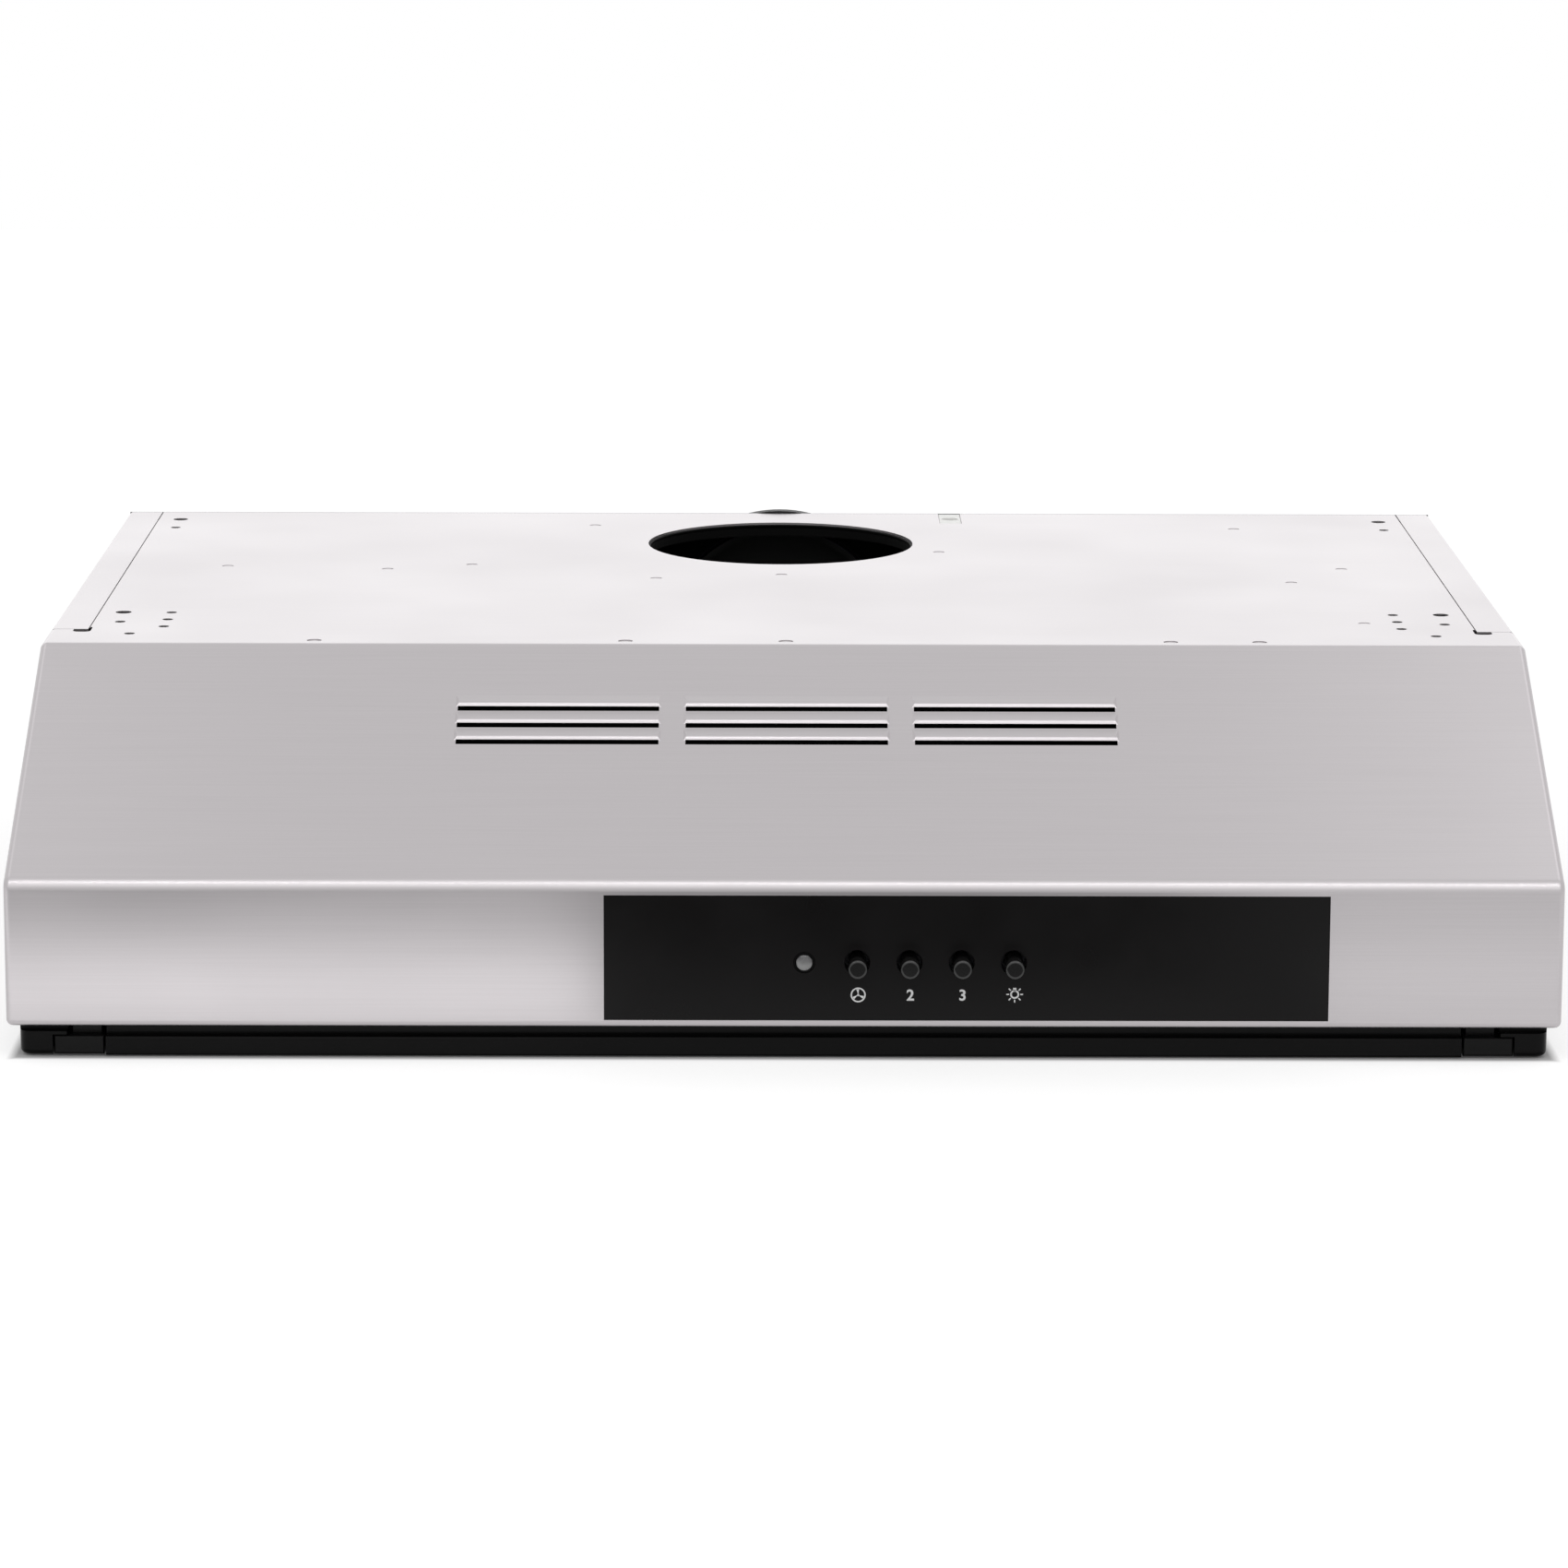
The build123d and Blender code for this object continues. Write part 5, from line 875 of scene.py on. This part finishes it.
def add_area(name, place, aim, size, power):
    """A soft rectangular lamp that the camera doesn't see."""
    data = bpy.data.lights.new(name, "AREA")
    data.shape = "RECTANGLE"
    data.size = size[0]
    data.size_y = size[1]
    data.energy = power
    lamp = bpy.data.objects.new(name, data)
    SCENE.collection.objects.link(lamp)
    lamp.location = place
    lamp.rotation_euler = (Vector(aim) - Vector(place)).to_track_quat("-Z", "Y").to_euler()
    lamp.visible_camera = False


def add_sheet(name, x, y, z):
    """A level sheet from the first to the last x and y."""
    mesh = bpy.data.meshes.new(name)
    corners = [(x[0], y[0], z), (x[1], y[0], z), (x[1], y[1], z), (x[0], y[1], z)]
    mesh.from_pydata(corners, [], [(0, 1, 2, 3)])
    sheet = bpy.data.objects.new(name, mesh)
    SCENE.collection.objects.link(sheet)
    return sheet


def seen_directly(tree):
    """1 for rays of the camera, of reflections and through glass, 0 for light that only bounces."""
    path = add(tree, "ShaderNodeLightPath").outputs
    inputs = {0: path["Is Camera Ray"], 1: path["Is Glossy Ray"]}
    either = add(tree, "ShaderNodeMath", inputs, operation="MAXIMUM").outputs[0]
    inputs = {0: either, 1: path["Is Transmission Ray"]}
    return add(tree, "ShaderNodeMath", inputs, operation="MAXIMUM").outputs[0]


def past_footprint(tree, place):
    """How far past the edge of the object's frame a place on the floor is, below 0 under the object."""
    corners = [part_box(node) for node in FRAME_CORNERS]
    low = Vector([min(corner[0][i] for corner in corners) for i in range(3)])
    high = Vector([max(corner[1][i] for corner in corners) for i in range(3)])
    inputs = {0: place, 1: (low + high) / 2}
    from_middle = add(tree, "ShaderNodeVectorMath", inputs, operation="SUBTRACT").outputs[0]
    distance = add(tree, "ShaderNodeVectorMath", {0: from_middle}, operation="ABSOLUTE").outputs[0]
    inputs = {0: distance, 1: (high - low) / 2}
    past = add(tree, "ShaderNodeVectorMath", inputs, operation="SUBTRACT").outputs[0]
    sides = add(tree, "ShaderNodeSeparateXYZ", {"Vector": past}).outputs
    return add(tree, "ShaderNodeMath", {0: sides["X"], 1: sides["Y"]}, operation="MAXIMUM").outputs[0]


def open_below(tree, past):
    """1 where the floor lets rays through: from its lower side, and for light on the object's underside."""
    path = add(tree, "ShaderNodeLightPath").outputs
    inputs = {0: path["Is Shadow Ray"], 1: path["Is Diffuse Ray"]}
    light = add(tree, "ShaderNodeMath", inputs, operation="MAXIMUM").outputs[0]
    under = add(tree, "ShaderNodeMath", {0: past, 1: -OPENING_INSET}, operation="LESS_THAN").outputs[0]
    let_in = add(tree, "ShaderNodeMath", {0: light, 1: under}, operation="MULTIPLY").outputs[0]
    lower_side = add(tree, "ShaderNodeNewGeometry").outputs["Backfacing"]
    return add(tree, "ShaderNodeMath", {0: let_in, 1: lower_side}, operation="MAXIMUM").outputs[0]


def white_paper():
    """Matt white paper: glows to plain white where it is seen, and is dark where the object stands on it, a
    painted shadow: its glow fades out there.
    """
    material, tree, place = new_material("white_paper")
    past = past_footprint(tree, place)
    paper = add(tree, "ShaderNodeBsdfDiffuse", {"Color": linear("C8C8C8")})
    # The glow fades to little under the object's frame: a painted shadow.
    glow_with_painted_shadow = add(tree, "ShaderNodeMapRange", {
        "Value": past, "From Min": PAINTED_SHADOW_FADE[0], "From Max": PAINTED_SHADOW_FADE[1],
        "To Min": PAINTED_SHADOW_GLOW, "To Max": PAPER_GLOW,
    })
    glow = add(tree, "ShaderNodeEmission", {"Color": (1, 1, 1, 1), "Strength": glow_with_painted_shadow.outputs[0]})
    lit = add(tree, "ShaderNodeAddShader", {0: paper.outputs[0], 1: glow.outputs[0]})
    inputs = {0: seen_directly(tree), 1: paper.outputs[0], 2: lit.outputs[0]}
    sheet = add(tree, "ShaderNodeMixShader", inputs)
    clear = add(tree, "ShaderNodeBsdfTransparent")
    inputs = {0: open_below(tree, past), 1: sheet.outputs[0], 2: clear.outputs[0]}
    close(tree, add(tree, "ShaderNodeMixShader", inputs))
    return material


def add_card(name, x, y, colour):
    """A grey card on the floor that only reflections see: it shades the upright lip."""
    card = add_sheet(name, x, y, CARD_LEVEL)
    material, tree, _ = new_material(name)
    close(tree, add(tree, "ShaderNodeEmission", {"Color": linear(colour), "Strength": 1.0}))
    card.data.materials.append(material)
    card.visible_camera = False
    card.visible_diffuse = False
    card.visible_shadow = False
    card.visible_transmission = False


def add_world():
    """White all round: plain white where it is seen, less where it only lights."""
    world = bpy.data.worlds.new("studio")
    SCENE.world = world
    world.use_nodes = True
    tree = world.node_tree
    tree.nodes.clear()
    inputs = {"Value": seen_directly(tree), "To Min": WORLD_LIGHT, "To Max": 1.0}
    strength = add(tree, "ShaderNodeMapRange", inputs)
    back = add(tree, "ShaderNodeBackground", {"Color": (1, 1, 1, 1), "Strength": strength.outputs[0]})
    add(tree, "ShaderNodeOutputWorld", {"Surface": back.outputs[0]})


def add_studio():
    """Floor, cards, world and lamps."""
    floor = add_sheet("floor", (-FLOOR_REACH, FLOOR_REACH), (-FLOOR_REACH, FLOOR_BACK), GROUND)
    floor.data.materials.append(white_paper())

    add_card("left_card", x=(-0.75, -0.09), y=(-1.6, -0.44), colour="A4A4A4")
    add_card("middle_card", x=(-0.09, 0.18), y=(-1.6, -0.44), colour="808080")
    add_card("right_card", x=(0.18, 0.80), y=(-1.6, -0.37), colour="EEEEEE")

    add_world()

    add_area("front_softbox", place=(0, -1.55, 1.35), aim=HOOD_FRONT, size=(3.0, 1.7), power=8.0)
    add_area("front_strip", place=(0, -0.98, 1.0), aim=HOOD_FRONT, size=(1.6, 0.08), power=1.8)
    add_area("rear_softbox", place=(0, 2.6, 0.75), aim=(0, 0, 0), size=(4.0, 1.5), power=11.0)
    for name, x, width, power in (("low_strip", -0.36, 0.57, 0.145), ("low_strip_right", 0.46, 0.5, 0.05)):
        add_area(name, place=(x, -0.40, STRIP_LEVEL), aim=(x, -0.33, 0), size=(width, 0.07), power=power)
    add_area("overhead_left", place=(-1.1, 0.9, 2.0), aim=HOOD_TOP, size=(0.9, 0.9), power=1.0)
    add_area("overhead_right", place=(1.0, 0.9, 2.0), aim=HOOD_TOP, size=(0.9, 0.9), power=1.6)


add_camera()
FINISHES = make_finishes()
dress_nodes()
add_screws()
add_diffuser_ribs()
add_pilot()
add_duct_seal()
add_panel_print()
add_filter_mat()
add_studio()
SCENE.view_settings.view_transform = "Standard"
